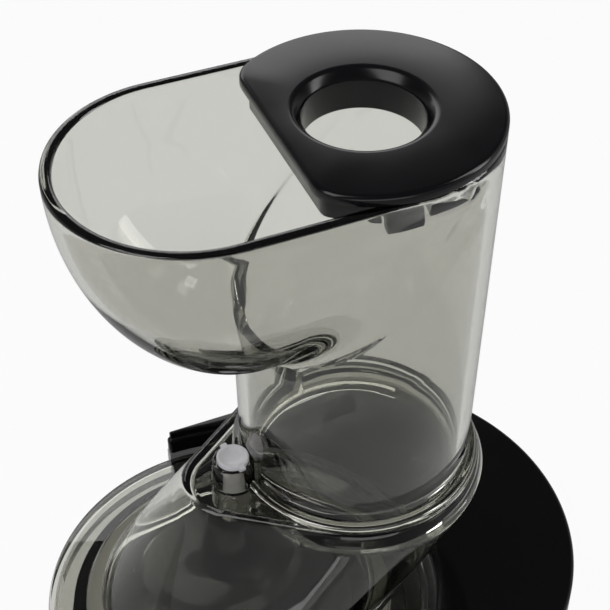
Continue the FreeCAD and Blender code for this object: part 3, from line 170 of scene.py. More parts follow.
@dataclass(frozen=True)
class ClearFinish:
    """A smoked clear moulding that refracts, tints what is behind it and lets lamps through.

    Attributes:
        name: The real material's name.
        tint: sRGB hex of the light left after one wall.
        ior: Index of refraction.
        roughness: Roughness of the polished mould.
        gloss: Specular level, where 0.5 follows from the index alone.
    """

    name: str
    tint: str
    ior: float = 1.5
    roughness: float = 0.02
    gloss: float = 0.3

    def material(self) -> bpy.types.Material:
        """Build the node material for this finish, once."""
        made = bpy.data.materials.get(self.name)
        if made is not None and made.users:
            return made
        made = bpy.data.materials.new(self.name)
        made.use_nodes = True
        tree = made.node_tree
        shader = tree.nodes["Principled BSDF"]
        place = add_node(tree, "ShaderNodeTexCoord").outputs["Object"]
        flow = add_node(tree, "ShaderNodeTexNoise", {"Vector": place, "Scale": 1.0 / (45.0 * MM), "Detail": 1.0})
        # Slow waves left by the flowing melt: under a hundredth of a millimetre, enough to bend a highlight.
        bump = add_node(tree, "ShaderNodeBump", {"Height": flow.outputs["Fac"], "Distance": 0.05 * MM, "Strength": 0.4})
        rough = add_node(tree, "ShaderNodeMapRange", {
            "Value": flow.outputs["Fac"], "From Min": 0.3, "From Max": 0.7,
            "To Min": self.roughness * 0.5, "To Max": self.roughness * 1.5})
        tree.links.new(bump.outputs["Normal"], shader.inputs["Normal"])
        tree.links.new(rough.outputs["Result"], shader.inputs["Roughness"])
        shader.inputs["Base Color"].default_value = linear(self.tint)
        shader.inputs["Transmission Weight"].default_value = 1.0
        shader.inputs["IOR"].default_value = self.ior
        shader.inputs["Specular IOR Level"].default_value = self.gloss
        path = add_node(tree, "ShaderNodeLightPath")
        through = add_node(tree, "ShaderNodeBsdfTransparent", {"Color": linear(self.tint)})
        mix = add_node(tree, "ShaderNodeMixShader", {
            0: path.outputs["Is Shadow Ray"], 1: shader.outputs["BSDF"], 2: through.outputs["BSDF"]})
        tree.links.new(mix.outputs["Shader"], tree.nodes["Material Output"].inputs["Surface"])
        return made


SMOKED = ClearFinish("smoked_clear_copolyester", "cdcdc7")
BLACK_ABS = Finish("black_gloss_abs", "08080b", "0c0c10", 0.2, pattern=Pattern.POLISHED, grain=1.2, depth=0.004, gloss=0.3)
COVER_ABS = Finish("piano_black_abs", "060608", "09090b", 0.12, pattern=Pattern.POLISHED, grain=2.0, depth=0.002, gloss=0.3)
BLACK_SATIN = Finish("black_satin_polypropylene", "141416", "19191b", 0.42, grain=0.6, depth=0.02)
BLACK_FILLED = Finish("black_polyetherimide", "040405", "070708", 0.14, pattern=Pattern.POLISHED, grain=1.5, depth=0.004, gloss=0.35)
SILVER = Finish("silver_sprayed_abs", "c6c7ca", "c9cacd", 0.34, metallic=0.7, pattern=Pattern.SPRAYED, grain=0.4,
                depth=0.0015, coat=0.3)
WHITE_POM = Finish("white_acetal", "c9c7cd", "d2d0d6", 0.38, grain=0.7, depth=0.01)
GREY_POM = Finish("grey_acetal", "8d8d8a", "9a9a96", 0.45, grain=0.7, depth=0.015)
STEEL = Finish("turned_stainless_steel", "9a9a9c", "b4b4b6", 0.28, metallic=1.0, pattern=Pattern.TURNED, grain=0.3,
               depth=0.01)
IRON = Finish("laminated_iron", "3a3a3d", "4c4c50", 0.5, metallic=0.9, pattern=Pattern.TURNED, grain=0.5, depth=0.02)
BRONZE = Finish("sintered_bronze", "9c7440", "b08850", 0.4, metallic=1.0, grain=0.3, depth=0.02)
SILICONE = Finish("translucent_silicone_rubber", "b9b8b6", "c6c5c3", 0.5, grain=0.5, depth=0.01)
RUBBER = Finish("black_nitrile_rubber", "131313", "1a1a1a", 0.7, grain=0.4, depth=0.03)
BOARD = Finish("green_solder_mask", "0f3d22", "15492b", 0.35, grain=1.0, depth=0.01)


# ---------------------------------------------------------------- mesh tools
def mesh_object(name: str, points: Sequence[Vector], faces: Sequence[Sequence[int]], merge: float = 0.01) -> bpy.types.Object:
    """Make an object from points and faces, merge doubles and turn faces outwards.

    Args:
        name: The object's name.
        points: Vertex places in metres.
        faces: Vertex indices of each face.
        merge: Distance in millimetres under which points merge.

    Returns:
        The new object, linked to the scene.
    """
    mesh = bpy.data.meshes.new(name)
    mesh.from_pydata([tuple(p) for p in points], [], faces)
    work = bmesh.new()
    work.from_mesh(mesh)
    bmesh.ops.remove_doubles(work, verts=work.verts, dist=merge * MM)
    bmesh.ops.dissolve_degenerate(work, edges=work.edges, dist=merge * MM)
    bmesh.ops.recalc_face_normals(work, faces=work.faces)
    work.to_mesh(mesh)
    work.free()
    made = bpy.data.objects.new(name, mesh)
    bpy.context.scene.collection.objects.link(made)
    return made


def loop_stack(name: str, rings: Sequence[Ring], closed: bool = False) -> bpy.types.Object:
    """Skin a stack of rings that all have as many points.

    Args:
        name: The object's name.
        rings: Rings in order.
        closed: True joins the last ring to the first; False caps both ends.

    Returns:
        A closed mesh object.
    """
    count = len(rings[0])
    points = [p for ring in rings for p in ring]
    faces: list[list[int]] = []
    pairs = len(rings) if closed else len(rings) - 1
    for k in range(pairs):
        a = k * count
        b = ((k + 1) % len(rings)) * count
        for i in range(count):
            j = (i + 1) % count
            faces.append([a + i, a + j, b + j, b + i])
    if not closed:
        faces.append(list(range(count))[::-1])
        faces.append(list(range((len(rings) - 1) * count, len(rings) * count)))
    return mesh_object(name, points, faces)


def lathe(name: str, centre: Vector, profile: Sequence[tuple[float, float]], steps: int = 128,
          closed: bool = True) -> bpy.types.Object:
    """Turn a profile of radius and height, in millimetres, about a vertical axis."""
    rings = [[polar(centre, r * MM, 360.0 * i / steps, z * MM) for i in range(steps)] for r, z in profile]
    return loop_stack(name, rings, closed)


def rounded(profile: Sequence[tuple[float, float]], radius: float, steps: int = 3) -> list[tuple[float, float]]:
    """Round every corner of a closed profile.

    Args:
        profile: Corners of the profile.
        radius: Largest radius of a corner, in the profile's units.
        steps: Points on each corner's curve, less one.

    Returns:
        The profile with each corner as a short curve.
    """
    out: list[tuple[float, float]] = []
    for i, here in enumerate(profile):
        corner = Vector(here)
        before = Vector(profile[i - 1]) - corner
        after = Vector(profile[(i + 1) % len(profile)]) - corner
        reach = min(radius, before.length * 0.45, after.length * 0.45)
        start = corner + before.normalized() * reach
        end = corner + after.normalized() * reach
        for k in range(steps + 1):
            t = k / steps
            spot = start * (1 - t) ** 2 + corner * 2 * t * (1 - t) + end * t * t
            out.append((spot.x, spot.y))
    return out


def settle(made: bpy.types.Object) -> bpy.types.Object:
    """Apply an object's modifiers to its mesh and remove them."""
    shown = made.evaluated_get(bpy.context.evaluated_depsgraph_get())
    mesh = bpy.data.meshes.new_from_object(shown)
    made.modifiers.clear()
    made.data = mesh
    return made


def combine(made: bpy.types.Object, tools: Iterable[bpy.types.Object], operation: str) -> bpy.types.Object:
    """Join, cut or intersect closed meshes with an exact Boolean, and drop the tools."""
    tools = list(tools)
    for tool in tools:
        step = made.modifiers.new("join", "BOOLEAN")
        step.solver = "EXACT"
        step.operation = operation
        step.object = tool
    settle(made)
    for tool in tools:
        bpy.data.objects.remove(tool)
    return made


def smooth(made: bpy.types.Object, angle: float = 35.0) -> bpy.types.Object:
    """Shade smooth, and keep edges sharper than an angle in degrees."""
    for face in made.data.polygons:
        face.use_smooth = True
    made.data.set_sharp_from_angle(angle=math.radians(angle))
    return made


def dress(made: bpy.types.Object, finish: Finish | ClearFinish, body: str,
          nodes: Sequence[str] = ()) -> bpy.types.Object:
    """Give a finished piece its material and body, and hide the CAD nodes that it stands for."""
    made.data.materials.clear()
    made.data.materials.append(finish.material())
    smooth(made)
    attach(made, body)
    if nodes:
        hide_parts(*nodes)
    LOG.info("%s: %d faces, %s", made.name, len(made.data.polygons), finish.name)
    return made


# ---------------------------------------------------------------- layout
@dataclass
class Layout:
    """Axes and heights that all sub-assemblies share, read from the frame."""

    rim_r: float = 46.5
    tube: Vector = field(init=False)
    drum: Vector = field(init=False)
    rim_z: float = field(init=False)
    top_z: float = field(init=False)

    def __post_init__(self) -> None:
        """Read the two axes and the hopper's heights, in metres."""
        low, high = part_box("hopper_lid")
        self.tube = Vector((high.x - self.rim_r * MM, (low.y + high.y) / 2, 0.0))
        self.top_z = high.z
        low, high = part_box("strainer")
        self.drum = Vector(((low.x + high.x) / 2, (low.y + high.y) / 2, 0.0))
        self.rim_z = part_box("hopper")[1].z


# ---------------------------------------------------------------- hopper
@dataclass
class Hopper:
    """Smoked hopper: a round feed tube with a rounded tray that opens into it, as one moulding."""

    place: Layout
    foot_r: float = 44.2
    rim_wall: float = 4.0
    wall: float = 3.0
    reach: float = 106.0
    depth: float = 81.0
    power: float = 2.5
    blend: float = 28.0
    slices: int = 60
    arc_points: int = 160
    side_points: int = 16
    end_points: int = 96

    def tube_radius(self, down: float, inner: bool) -> float:
        """Radius of the tube's outer or inner wall at a depth below the rim."""
        span = self.place.rim_z / MM - (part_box("drum_lid")[1].z / MM - 10.0)
        outer = self.place.rim_r + (self.foot_r - self.place.rim_r) * min(1.0, down / span)
        return outer - self.rim_wall if inner else outer

    def tray(self, share: float, inner: bool) -> tuple[float, float, float]:
        """Half width, reach to the left and depth of the tray's outline at a share of a right angle."""
        angle = share * math.pi / 2
        wall = self.rim_wall + (self.wall - self.rim_wall) * min(1.0, share * 4.0) if inner else 0.0
        drop = math.sin(angle) ** (2.0 / self.power)
        down = drop * (self.depth - (self.wall if inner else 0.0))
        radius = self.tube_radius(down, inner)
        width = (self.place.rim_r - wall) * max(0.0, math.cos(angle)) ** (2.0 / self.power)
        far = self.reach - wall
        reach = radius + (far - radius) * math.sqrt(max(0.0, 1.0 - drop * drop))
        return min(width, radius - 0.001), reach, down

    def outline(self, share: float, inner: bool) -> tuple[Ring, Ring]:
        """Tube arc and tray path of one level slice, which share their end points."""
        width, reach, down = self.tray(share, inner)
        radius = self.tube_radius(down, inner)
        z = self.place.rim_z - down * MM
        end_x = -(reach - width)
        meet_x = -math.sqrt(max(0.0, radius * radius - width * width))
        if meet_x < end_x:
            gap = -end_x
            meet_x = -(gap * gap + radius * radius - width * width) / (2 * gap)
        meet_y = math.sqrt(max(0.0, radius * radius - meet_x * meet_x))
        opening = math.atan2(meet_y, meet_x)
        arc = [self.spot(radius * math.cos(a), radius * math.sin(a), z)
               for a in (opening * (2.0 * i / self.arc_points - 1.0) for i in range(self.arc_points + 1))]
        turn = math.atan2(meet_y, meet_x - end_x) if meet_x <= end_x else math.pi / 2
        path = []
        for i in range(self.side_points):
            x = meet_x + (min(end_x, meet_x) - meet_x) * i / self.side_points
            path.append(self.spot(x, meet_y, z))
        for i in range(self.end_points + 1):
            a = turn + (TURN - 2 * turn) * i / self.end_points
            path.append(self.spot(end_x + width * math.cos(a), width * math.sin(a), z))
        path.extend(Vector((p.x, 2 * self.place.tube.y - p.y, p.z)) for p in reversed(path[:self.side_points]))
        fade = 1.0 - (down / self.depth) ** 2
        reach = min(self.blend * fade * min(1.0, down / 12.0), 0.6 * width)
        return self.soften(arc, path, reach * MM)

    @staticmethod
    def soften(arc: Ring, path: Ring, reach: float) -> tuple[Ring, Ring]:
        """Round both corners where the tube's arc meets the tray's path, over a reach in metres."""
        if reach < 0.05 * MM:
            return arc, path

        def lengths(run: Ring) -> list[float]:
            steps = [0.0]
            for a, b in zip(run[:-1], run[1:]):
                steps.append(steps[-1] + (b - a).length)
            return steps

        def at(run: Ring, steps: list[float], want: float) -> Vector:
            for k in range(len(run) - 1):
                if steps[k + 1] >= want:
                    span = max(1e-12, steps[k + 1] - steps[k])
                    return run[k].lerp(run[k + 1], (want - steps[k]) / span)
            return run[-1].copy()

        def round_end(side: Ring, other: Ring) -> Ring:
            steps, others = lengths(side), lengths(other)
            corner, start, end = side[0], at(side, steps, reach), at(other, others, reach)
            out = []
            for point, gone in zip(side, steps):
                if gone >= reach:
                    out.append(point)
                    continue
                t = 0.5 - 0.5 * gone / reach
                out.append(start * (1 - t) ** 2 + corner * 2 * t * (1 - t) + end * t * t)
            return out

        new_arc = round_end(arc, path[::-1])
        new_arc = round_end(new_arc[::-1], path)[::-1]
        new_path = round_end(path, arc[::-1])
        new_path = round_end(new_path[::-1], arc)[::-1]
        return new_arc, new_path

    def spot(self, x: float, y: float, z: float) -> Vector:
        """A point from plan millimetres about the tube's axis and a height in metres."""
        return Vector((self.place.tube.x + x * MM, self.place.tube.y + y * MM, z))

    def skin(self, inner: bool, top_share: float) -> tuple[list[Vector], list[list[int]], Ring]:
        """Points and faces of one wall, and its ring at the rim."""
        points: list[Vector] = []
        faces: list[list[int]] = []
        arcs: list[list[int]] = []
        paths: list[list[int]] = []
        rim: Ring = []
        for k in range(self.slices + 1):
            share = top_share + (1.0 - top_share) * k / self.slices
            arc, path = self.outline(share, inner)
            if k == 0:
                rim = arc + path[1:-1]
            arcs.append(list(range(len(points), len(points) + len(arc))))
            points.extend(arc)
            paths.append(list(range(len(points), len(points) + len(path))))
            points.extend(path)
        bottom = self.depth - (self.wall if inner else 0.0)
        floor = self.place.rim_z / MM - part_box("hopper")[0].z / MM
        for down, radius in self.foot_profile(bottom, floor, inner):
            z = self.place.rim_z - down * MM
            ring = [self.spot(radius * math.cos(a), radius * math.sin(a), z)
                    for a in (math.pi * (2.0 * i / self.arc_points - 1.0) for i in range(self.arc_points + 1))]
            arcs.append(list(range(len(points), len(points) + len(ring))))
            points.extend(ring)
        for strip in (arcs, paths):
            for upper, lower in zip(strip[:-1], strip[1:]):
                for i in range(len(upper) - 1):
                    faces.append([upper[i], upper[i + 1], lower[i + 1], lower[i]])
        return points, faces, rim

    def foot_profile(self, start: float, floor: float, inner: bool) -> list[tuple[float, float]]:
        """Depth and radius of the tube below the tray, with the bead round its foot outside."""
        seat = floor - 9.0
        if inner:
            return [(start + (floor - start) * i / 8, self.tube_radius(start + (floor - start) * i / 8, True))
                    for i in range(1, 9)]
        out = [(start + (seat - 3.4 - start) * i / 7, self.tube_radius(start + (seat - 3.4 - start) * i / 7, False))
               for i in range(1, 8)]
        bead = self.foot_r + 3.0
        out += [(seat - 2.9, self.foot_r + 0.2), (seat - 2.6, self.foot_r + 0.9), (seat - 2.5, bead - 1.0),
                (seat - 2.2, bead - 0.3), (seat - 1.6, bead), (seat - 0.8, bead), (seat - 0.2, bead - 0.4),
                (seat, bead - 1.0), (seat, self.foot_r + 0.4), (seat + 0.3, self.foot_r), (floor - 0.6, self.foot_r),
                (floor, self.foot_r - 0.6)]
        return out

    def build(self) -> bpy.types.Object:
        """Skin both walls, round the rim between them and close the foot."""
        top_share = 0.004
        outer, outer_faces, outer_rim = self.skin(False, top_share)
        inner, inner_faces, inner_rim = self.skin(True, top_share)
        points = outer + inner
        shift = len(outer)
        faces = outer_faces + [[i + shift for i in face] for face in inner_faces]
        count = len(outer_rim)
        start = len(points)
        lip = ((0.0, None), (0.05, 0.55), (0.14, 0.2), (0.3, 0.0), (0.7, 0.0), (0.86, 0.2), (0.95, 0.55), (1.0, None))
        for across, fall in lip:
            for a, b in zip(outer_rim, inner_rim):
                spot = a.lerp(b, across)
                if fall is not None:
                    spot.z = self.place.rim_z - fall * MM
                points.append(spot)
        for k in range(len(lip) - 1):
            for i in range(count):
                j = (i + 1) % count
                a = start + k * count
                faces.append([a + i, a + j, a + count + j, a + count + i])
        low_outer = [self.spot((self.foot_r - 0.6) * math.cos(a), (self.foot_r - 0.6) * math.sin(a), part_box("hopper")[0].z)
                     for a in (math.pi * (2.0 * i / self.arc_points - 1.0) for i in range(self.arc_points + 1))]
        foot_in = self.tube_radius(999.0, True)
        low_inner = [self.spot(foot_in * math.cos(a), foot_in * math.sin(a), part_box("hopper")[0].z)
                     for a in (math.pi * (2.0 * i / self.arc_points - 1.0) for i in range(self.arc_points + 1))]
        start = len(points)
        points += low_outer + low_inner
        n = self.arc_points + 1
        faces += [[start + i, start + i + 1, start + n + i + 1, start + n + i] for i in range(n - 1)]
        made = mesh_object("hopper_moulding", points, faces, merge=0.02)
        seat_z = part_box("hopper")[0].z / MM
        key = lathe("key", self.place.drum, [(8.9, seat_z - 2), (8.9, seat_z + 23.0)], 64, closed=False)
        combine(made, [key], "DIFFERENCE")
        return dress(made, SMOKED, "hopper", ["hopper"])


# ---------------------------------------------------------------- hopper lid
@dataclass
class HopperLid:
    """Black lid over the feed tube: flat left side, dished hole with a collar, skirt and two snap tabs."""

    place: Layout
    cut: float = 31.0
    corner: float = 12.0
    edge: float = 1.7
    hole_r: float = 20.3
    lip: float = 3.2
    collar_h: float = 15.0
    collar_w: float = 2.2
    skirt_r: float = 42.0
    skirt_h: float = 9.0
    skirt_w: float = 2.5
    tab_angles: tuple[float, float] = (97.0, -97.0)
    tab_w: float = 12.0
    tab_h: float = 12.5
    slit: float = 1.8
    steps: int = 192

    def radius(self, angle: float, size: float, cut: float, corner: float) -> float:
        """Distance from the tube's axis to an outline with a flat left side, at a plan angle."""
        a = abs(math.atan2(math.sin(angle), math.cos(angle)))
        cx = -(cut - corner)
        cy = math.sqrt((size - corner) ** 2 - cx * cx)
        if a <= math.atan2(cy, cx):
            return size
        if a >= math.atan2(cy, -cut):
            return cut / math.cos(math.pi - a)
        along = math.cos(a) * cx + math.sin(a) * cy
        return along + math.sqrt(max(0.0, along * along - cx * cx - cy * cy + corner * corner))

    def ring(self, size: float, cut: float, corner: float, z: float) -> Ring:
        """One ring of the lid's skin, in millimetres; a cut at least as large as the size gives a circle."""
        ring = []
        for i in range(self.steps):
            a = TURN * i / self.steps
            r = size if cut >= size else self.radius(a, size, cut, corner)
            ring.append(Vector((self.place.tube.x + r * MM * math.cos(a), self.place.tube.y + r * MM * math.sin(a), z * MM)))
        return ring

    def edge_rings(self, top: float, low: float) -> list[Ring]:
        """Rings down the rounded outer edge of the plate."""
        size = self.place.rim_r
        spots = [(self.edge * (1 - math.sin(a)), top - self.edge * (1 - math.cos(a)))
                 for a in (math.radians(15.0 * k) for k in range(7))]
        spots += [(0.0, low + 0.5), (0.15, low + 0.12), (0.5, low)]
        return [self.ring(size - i, self.cut - i, self.corner - i, z) for i, z in spots]

    def build(self) -> bpy.types.Object:
        """Skin the lid, cut the slits beside its tabs and join the tabs."""
        top = self.place.top_z / MM
        low = self.place.rim_z / MM + 0.05
        skirt = self.skirt_r
        flat = self.cut - 3.0
        wall = self.skirt_w
        collar = self.hole_r + self.collar_w
        rings = self.edge_rings(top, low)
        for inset, z in ((0.0, low), (0.0, low - self.skirt_h + 0.6), (0.2, low - self.skirt_h + 0.15),
                         (0.6, low - self.skirt_h), (wall - 0.6, low - self.skirt_h),
                         (wall - 0.2, low - self.skirt_h + 0.15), (wall, low - self.skirt_h + 0.6), (wall, low)):
            rings.append(self.ring(skirt - inset, flat - inset, 4.0, z))
        bottom = top - self.collar_h
        lip = self.lip
        for r, z in ((collar, low), (collar, bottom + 0.5), (collar - 0.15, bottom + 0.12), (collar - 0.5, bottom),
                     (self.hole_r + 0.5, bottom), (self.hole_r + 0.12, bottom + 0.12), (self.hole_r, bottom + 0.5),
                     (self.hole_r, top - lip - 0.8), (self.hole_r + 0.12, top - lip - 0.2),
                     (self.hole_r + 0.5, top - lip + 0.4), (self.hole_r + lip - 0.9, top - 0.75),
                     (self.hole_r + lip - 0.3, top - 0.3), (self.hole_r + lip + 0.6, top - 0.02),
                     (self.hole_r + lip + 1.2, top)):
            rings.append(self.ring(r, r, 0.0, z))
        lid = loop_stack("hopper_lid_moulding", rings, closed=True)
        windows = [self.slab(f"slit_{k}", a, ((self.skirt_r - wall - 1, low - 0.02), (self.skirt_r + 1, low - 0.02),
                                              (self.skirt_r + 1, low - 12), (self.skirt_r - wall - 1, low - 12)),
                             self.tab_w + 2 * self.slit) for k, a in enumerate(self.tab_angles)]
        combine(lid, windows, "DIFFERENCE")
        foot = low - self.tab_h
        inner = self.skirt_r - 3.4
        profile = ((inner, low + 0.5), (inner, foot + 0.8), (inner + 0.7, foot), (self.skirt_r - 0.3, foot + 0.1),
                   (self.skirt_r, foot + 0.5), (self.skirt_r, foot + 1.7), (self.skirt_r - 0.4, foot + 2.15),
                   (inner + 2.3, foot + 2.25), (inner + 1.8, foot + 2.8), (inner + 1.8, low + 0.5))
        tabs = [self.slab(f"tab_{k}", a, profile, self.tab_w) for k, a in enumerate(self.tab_angles)]
        combine(lid, tabs, "UNION")
        return dress(lid, BLACK_ABS, "hopper_lid", ["hopper_lid"])

    def slab(self, name: str, degrees: float, profile: Sequence[tuple[float, float]], width: float) -> bpy.types.Object:
        """A profile of radius and height drawn out across a radius at an angle."""
        a = math.radians(degrees)
        out = Vector((math.cos(a), math.sin(a), 0.0))
        side = Vector((-out.y, out.x, 0.0))
        rings = [[self.place.tube + out * (r * MM) + side * (s * width / 2 * MM) + Vector((0, 0, z * MM))
                  for r, z in profile] for s in (-1.0, 1.0)]
        return loop_stack(name, rings)


# ---------------------------------------------------------------- drum lid
@dataclass
class DrumLid:
    """Clear dome from a round neck to a teardrop platform, with flange, collar and boss."""

    place: Layout
    wall: float = 3.0
    neck_r: float = 56.0
    flange_r: float = 78.0
    rim_gap_r: float = 75.5
    crease: tuple[float, float] = (24.0, 51.0)
    platform: tuple[float, float] = (19.0, 48.0)
    crease_drop: float = 8.0
    neck_rise: float = 5.0
    boss: tuple[float, float] = (8.6, 7.6)
    bush_r: float = 6.2
    feed_r: float = 39.8
    spigot_r: float = 44.5
    big: int = 112
    line: int = 14
    small: int = 52

    @property
    def gap(self) -> float:
        """Distance between the two axes in millimetres."""
        return (self.place.tube.x - self.place.drum.x) / MM

    def hull(self, pair: tuple[float, float], inset: float, z: float) -> Ring:
        """Outline round a small circle at the drum's axis and a large one at the tube's axis."""
        ra, rb = pair[0] - inset, pair[1] - inset
        normal = math.degrees(math.acos((ra - rb) / self.gap))
        tube, drum = self.place.tube, self.place.drum
        arc = [polar(tube, rb * MM, normal * (2.0 * i / self.big - 1.0), z * MM) for i in range(self.big + 1)]
        tip = [polar(drum, ra * MM, normal + (360.0 - 2 * normal) * i / self.small, z * MM) for i in range(self.small + 1)]
        there = [arc[-1].lerp(tip[0], i / self.line) for i in range(1, self.line)]
        back = [tip[-1].lerp(arc[0], i / self.line) for i in range(1, self.line)]
        return arc + there + tip + back

    def neck(self, inset: float, z: float) -> Ring:
        """The round neck, with its points matched to the outlines above."""
        normal = math.degrees(math.acos((self.crease[0] - self.crease[1]) / self.gap))
        first = 100.0
        marks = [first * (2.0 * i / self.big - 1.0) for i in range(self.big + 1)]
        marks += [first + (normal - first) * i / self.line for i in range(1, self.line)]
        marks += [normal + (360.0 - 2 * normal) * i / self.small for i in range(self.small + 1)]
        marks += [360.0 - normal + (normal - first) * i / self.line for i in range(1, self.line)]
        return [polar(self.place.drum, (self.neck_r - inset) * MM, a, z * MM) for a in marks]

    def dome(self, name: str, inset: float, drop: float, foot_z: float) -> bpy.types.Object:
        """Closed dome solid whose creases are small curves."""
        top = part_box("drum_lid")[1].z / MM - 10.0
        neck_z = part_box("drum_lid")[1].z / MM - 75.0
        low = self.neck(inset, neck_z)
        crease = self.hull(self.crease, inset, top - self.crease_drop - drop)
        rim = self.hull(self.platform, inset, top - drop)
        lid = self.hull(self.platform, inset + 1.4, top - drop)

        def mix(a: Ring, b: Ring, t: float) -> Ring:
            return [p.lerp(q, t) for p, q in zip(a, b)]

        def bend(a: Ring, corner: Ring, b: Ring) -> list[Ring]:
            rings = []
            for k in range(5):
                t = k / 4
                rings.append([p * (1 - t) ** 2 + c * 2 * t * (1 - t) + q * t * t for p, c, q in zip(a, corner, b)])
            return rings

        foot = self.neck(inset, foot_z)
        rings = [foot, self.neck(inset, neck_z - 1.2)]
        rings += bend(rings[-1], low, mix(low, crease, 0.03))
        rings += [mix(low, crease, 0.03 + 0.95 * k / 12) for k in range(1, 12)]
        rings += bend(mix(low, crease, 0.98), crease, mix(crease, rim, 0.13))
        rings += [mix(crease, rim, 0.13 + 0.7 * k / 4) for k in range(1, 4)]
        rings += bend(mix(crease, rim, 0.84), rim, lid)
        return loop_stack(name, rings)

    def build(self) -> bpy.types.Object:
        """Hollow the dome, join flange, collar and boss, and bore it."""
        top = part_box("drum_lid")[1].z / MM - 10.0
        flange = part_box("drum_lid")[0].z / MM + 8.0
        ledge = top - 9.0
        shell = self.dome("drum_lid_moulding", 0.0, 0.0, flange)
        combine(shell, [self.dome("room", self.wall, self.wall, flange - 1.0)], "DIFFERENCE")
        ring = rounded([(self.neck_r - 2.4, flange), (self.rim_gap_r, flange), (self.rim_gap_r, flange - 8.0),
                        (self.flange_r, flange - 8.0), (self.flange_r, flange + 3.0), (self.neck_r + 6, flange + 3.0),
                        (self.neck_r + 6, flange + 5.5), (self.neck_r - 2.4, flange + 5.5)], 0.9)
        collar = lathe("collar", self.place.tube, [(46.4, ledge - 3.0), (47.0, ledge - 2.4), (47.0, top - 1.0)], 144, False)
        low_r, high_r = self.boss
        stub = lathe("boss", self.place.drum, [(low_r - 0.4, ledge - 7.0), (low_r, ledge - 6.6), (low_r, top + 0.2),
                                               (low_r - 0.2, top + 0.8), (high_r + 0.1, top + 9.4), (high_r - 0.1, top + 9.85),
                                               (high_r - 0.45, top + 10.0)], 72, False)
        combine(shell, [lathe("flange", self.place.drum, ring, 168), collar, stub], "UNION")
        bore = lathe("bore", self.place.tube, [(self.feed_r, ledge - 8), (self.feed_r, ledge + 0.001)], 144, False)
        seat = lathe("seat", self.place.tube, [(self.spigot_r, ledge), (self.spigot_r, top - 0.5), (self.spigot_r + 0.6, top + 0.1),
                                               (self.spigot_r + 0.6, top + 30)], 144, False)
        # The seat stops at the boss, whose flank stands inside the feed tube's foot.
        keep = lathe("keep", self.place.drum, [(low_r - 0.2, ledge - 7), (low_r - 0.2, top + 0.8), (high_r, top + 9.6),
                                               (high_r, top + 31)], 72, False)
        combine(seat, [keep], "DIFFERENCE")
        hole = lathe("hole", self.place.drum, [(self.bush_r, ledge - 12), (self.bush_r, top + 30)], 72, False)
        combine(shell, [bore, seat, hole], "DIFFERENCE")
        return dress(shell, SMOKED, "drum_lid", ["drum_lid"])


def ring_of_ticks(material: bpy.types.Material) -> bpy.types.NodeTree:
    """Geometry Nodes tree that stands ticks round a circle and joins them to the mesh it is given.

    Args:
        material: The finish of the result.

    Returns:
        A tree with inputs Count, Radius, Tick and Centre.
    """
    tree = bpy.data.node_groups.new("ring_of_ticks", "GeometryNodeTree")
    face = tree.interface
    face.new_socket("Geometry", in_out="INPUT", socket_type="NodeSocketGeometry")
    face.new_socket("Count", in_out="INPUT", socket_type="NodeSocketInt")
    face.new_socket("Radius", in_out="INPUT", socket_type="NodeSocketFloat")
    face.new_socket("Tick", in_out="INPUT", socket_type="NodeSocketVector")
    face.new_socket("Centre", in_out="INPUT", socket_type="NodeSocketVector")
    face.new_socket("Geometry", in_out="OUTPUT", socket_type="NodeSocketGeometry")
    given = add_node(tree, "NodeGroupInput").outputs
    circle = add_node(tree, "GeometryNodeMeshCircle", {"Vertices": given["Count"], "Radius": given["Radius"]})
    step = add_node(tree, "ShaderNodeMath", {0: TURN, 1: given["Count"]}, operation="DIVIDE")
    turn = add_node(tree, "ShaderNodeMath", {0: add_node(tree, "GeometryNodeInputIndex").outputs[0], 1: step.outputs[0]},
                    operation="MULTIPLY")
    angle = add_node(tree, "ShaderNodeCombineXYZ", {"Z": turn.outputs[0]})
    tick = add_node(tree, "GeometryNodeMeshCube", {"Size": given["Tick"]})
    ticks = add_node(tree, "GeometryNodeInstanceOnPoints", {
        "Points": circle.outputs["Mesh"], "Instance": tick.outputs["Mesh"], "Rotation": angle.outputs["Vector"]})
    moved = add_node(tree, "GeometryNodeTransform", {"Geometry": ticks.outputs["Instances"], "Translation": given["Centre"]})
    joined = add_node(tree, "GeometryNodeJoinGeometry")
    tree.links.new(given["Geometry"], joined.inputs[0])
    tree.links.new(moved.outputs[0], joined.inputs[0])
    real = add_node(tree, "GeometryNodeRealizeInstances", {"Geometry": joined.outputs[0]})
    dressed = add_node(tree, "GeometryNodeSetMaterial", {"Geometry": real.outputs[0], "Material": material})
    add_node(tree, "NodeGroupOutput", {"Geometry": dressed.outputs[0]})
    return tree


@dataclass
class DateDials:
    """Two generic moulded date dials on the drum lid: a fine ring with ticks."""

    place: Layout
    spots: tuple[tuple[float, float], ...] = ((-38.6, -8.4), (-31.1, -14.2))
    radius: float = 3.2
    line: float = 0.3
    rise: float = 0.15
    count: int = 12

    def build(self) -> None:
        """Mould each dial into the platform's top."""
        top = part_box("drum_lid")[1].z / MM - 10.0
        tree = ring_of_ticks(SMOKED.material())
        for k, (x, y) in enumerate(self.spots):
            centre = Vector((x * MM, y * MM, 0.0))
            rim = self.radius
            made = lathe(f"date_dial_{k}", centre, [(rim - self.line, top - 0.2), (rim, top - 0.2), (rim, top + self.rise),
                                                    (rim - self.line, top + self.rise)], 48)
            step = made.modifiers.new("ticks", "NODES")
            step.node_group = tree
            values = {"Count": self.count, "Radius": (rim - 1.0) * MM, "Tick": (0.9 * MM, 0.25 * MM, 0.3 * MM),
                      "Centre": (centre.x, centre.y, top * MM)}
            for item in tree.interface.items_tree:
                if item.in_out == "INPUT" and item.name in values:
                    step[item.identifier] = values[item.name]
            settle(made)
            dress(made, SMOKED, "drum_lid")


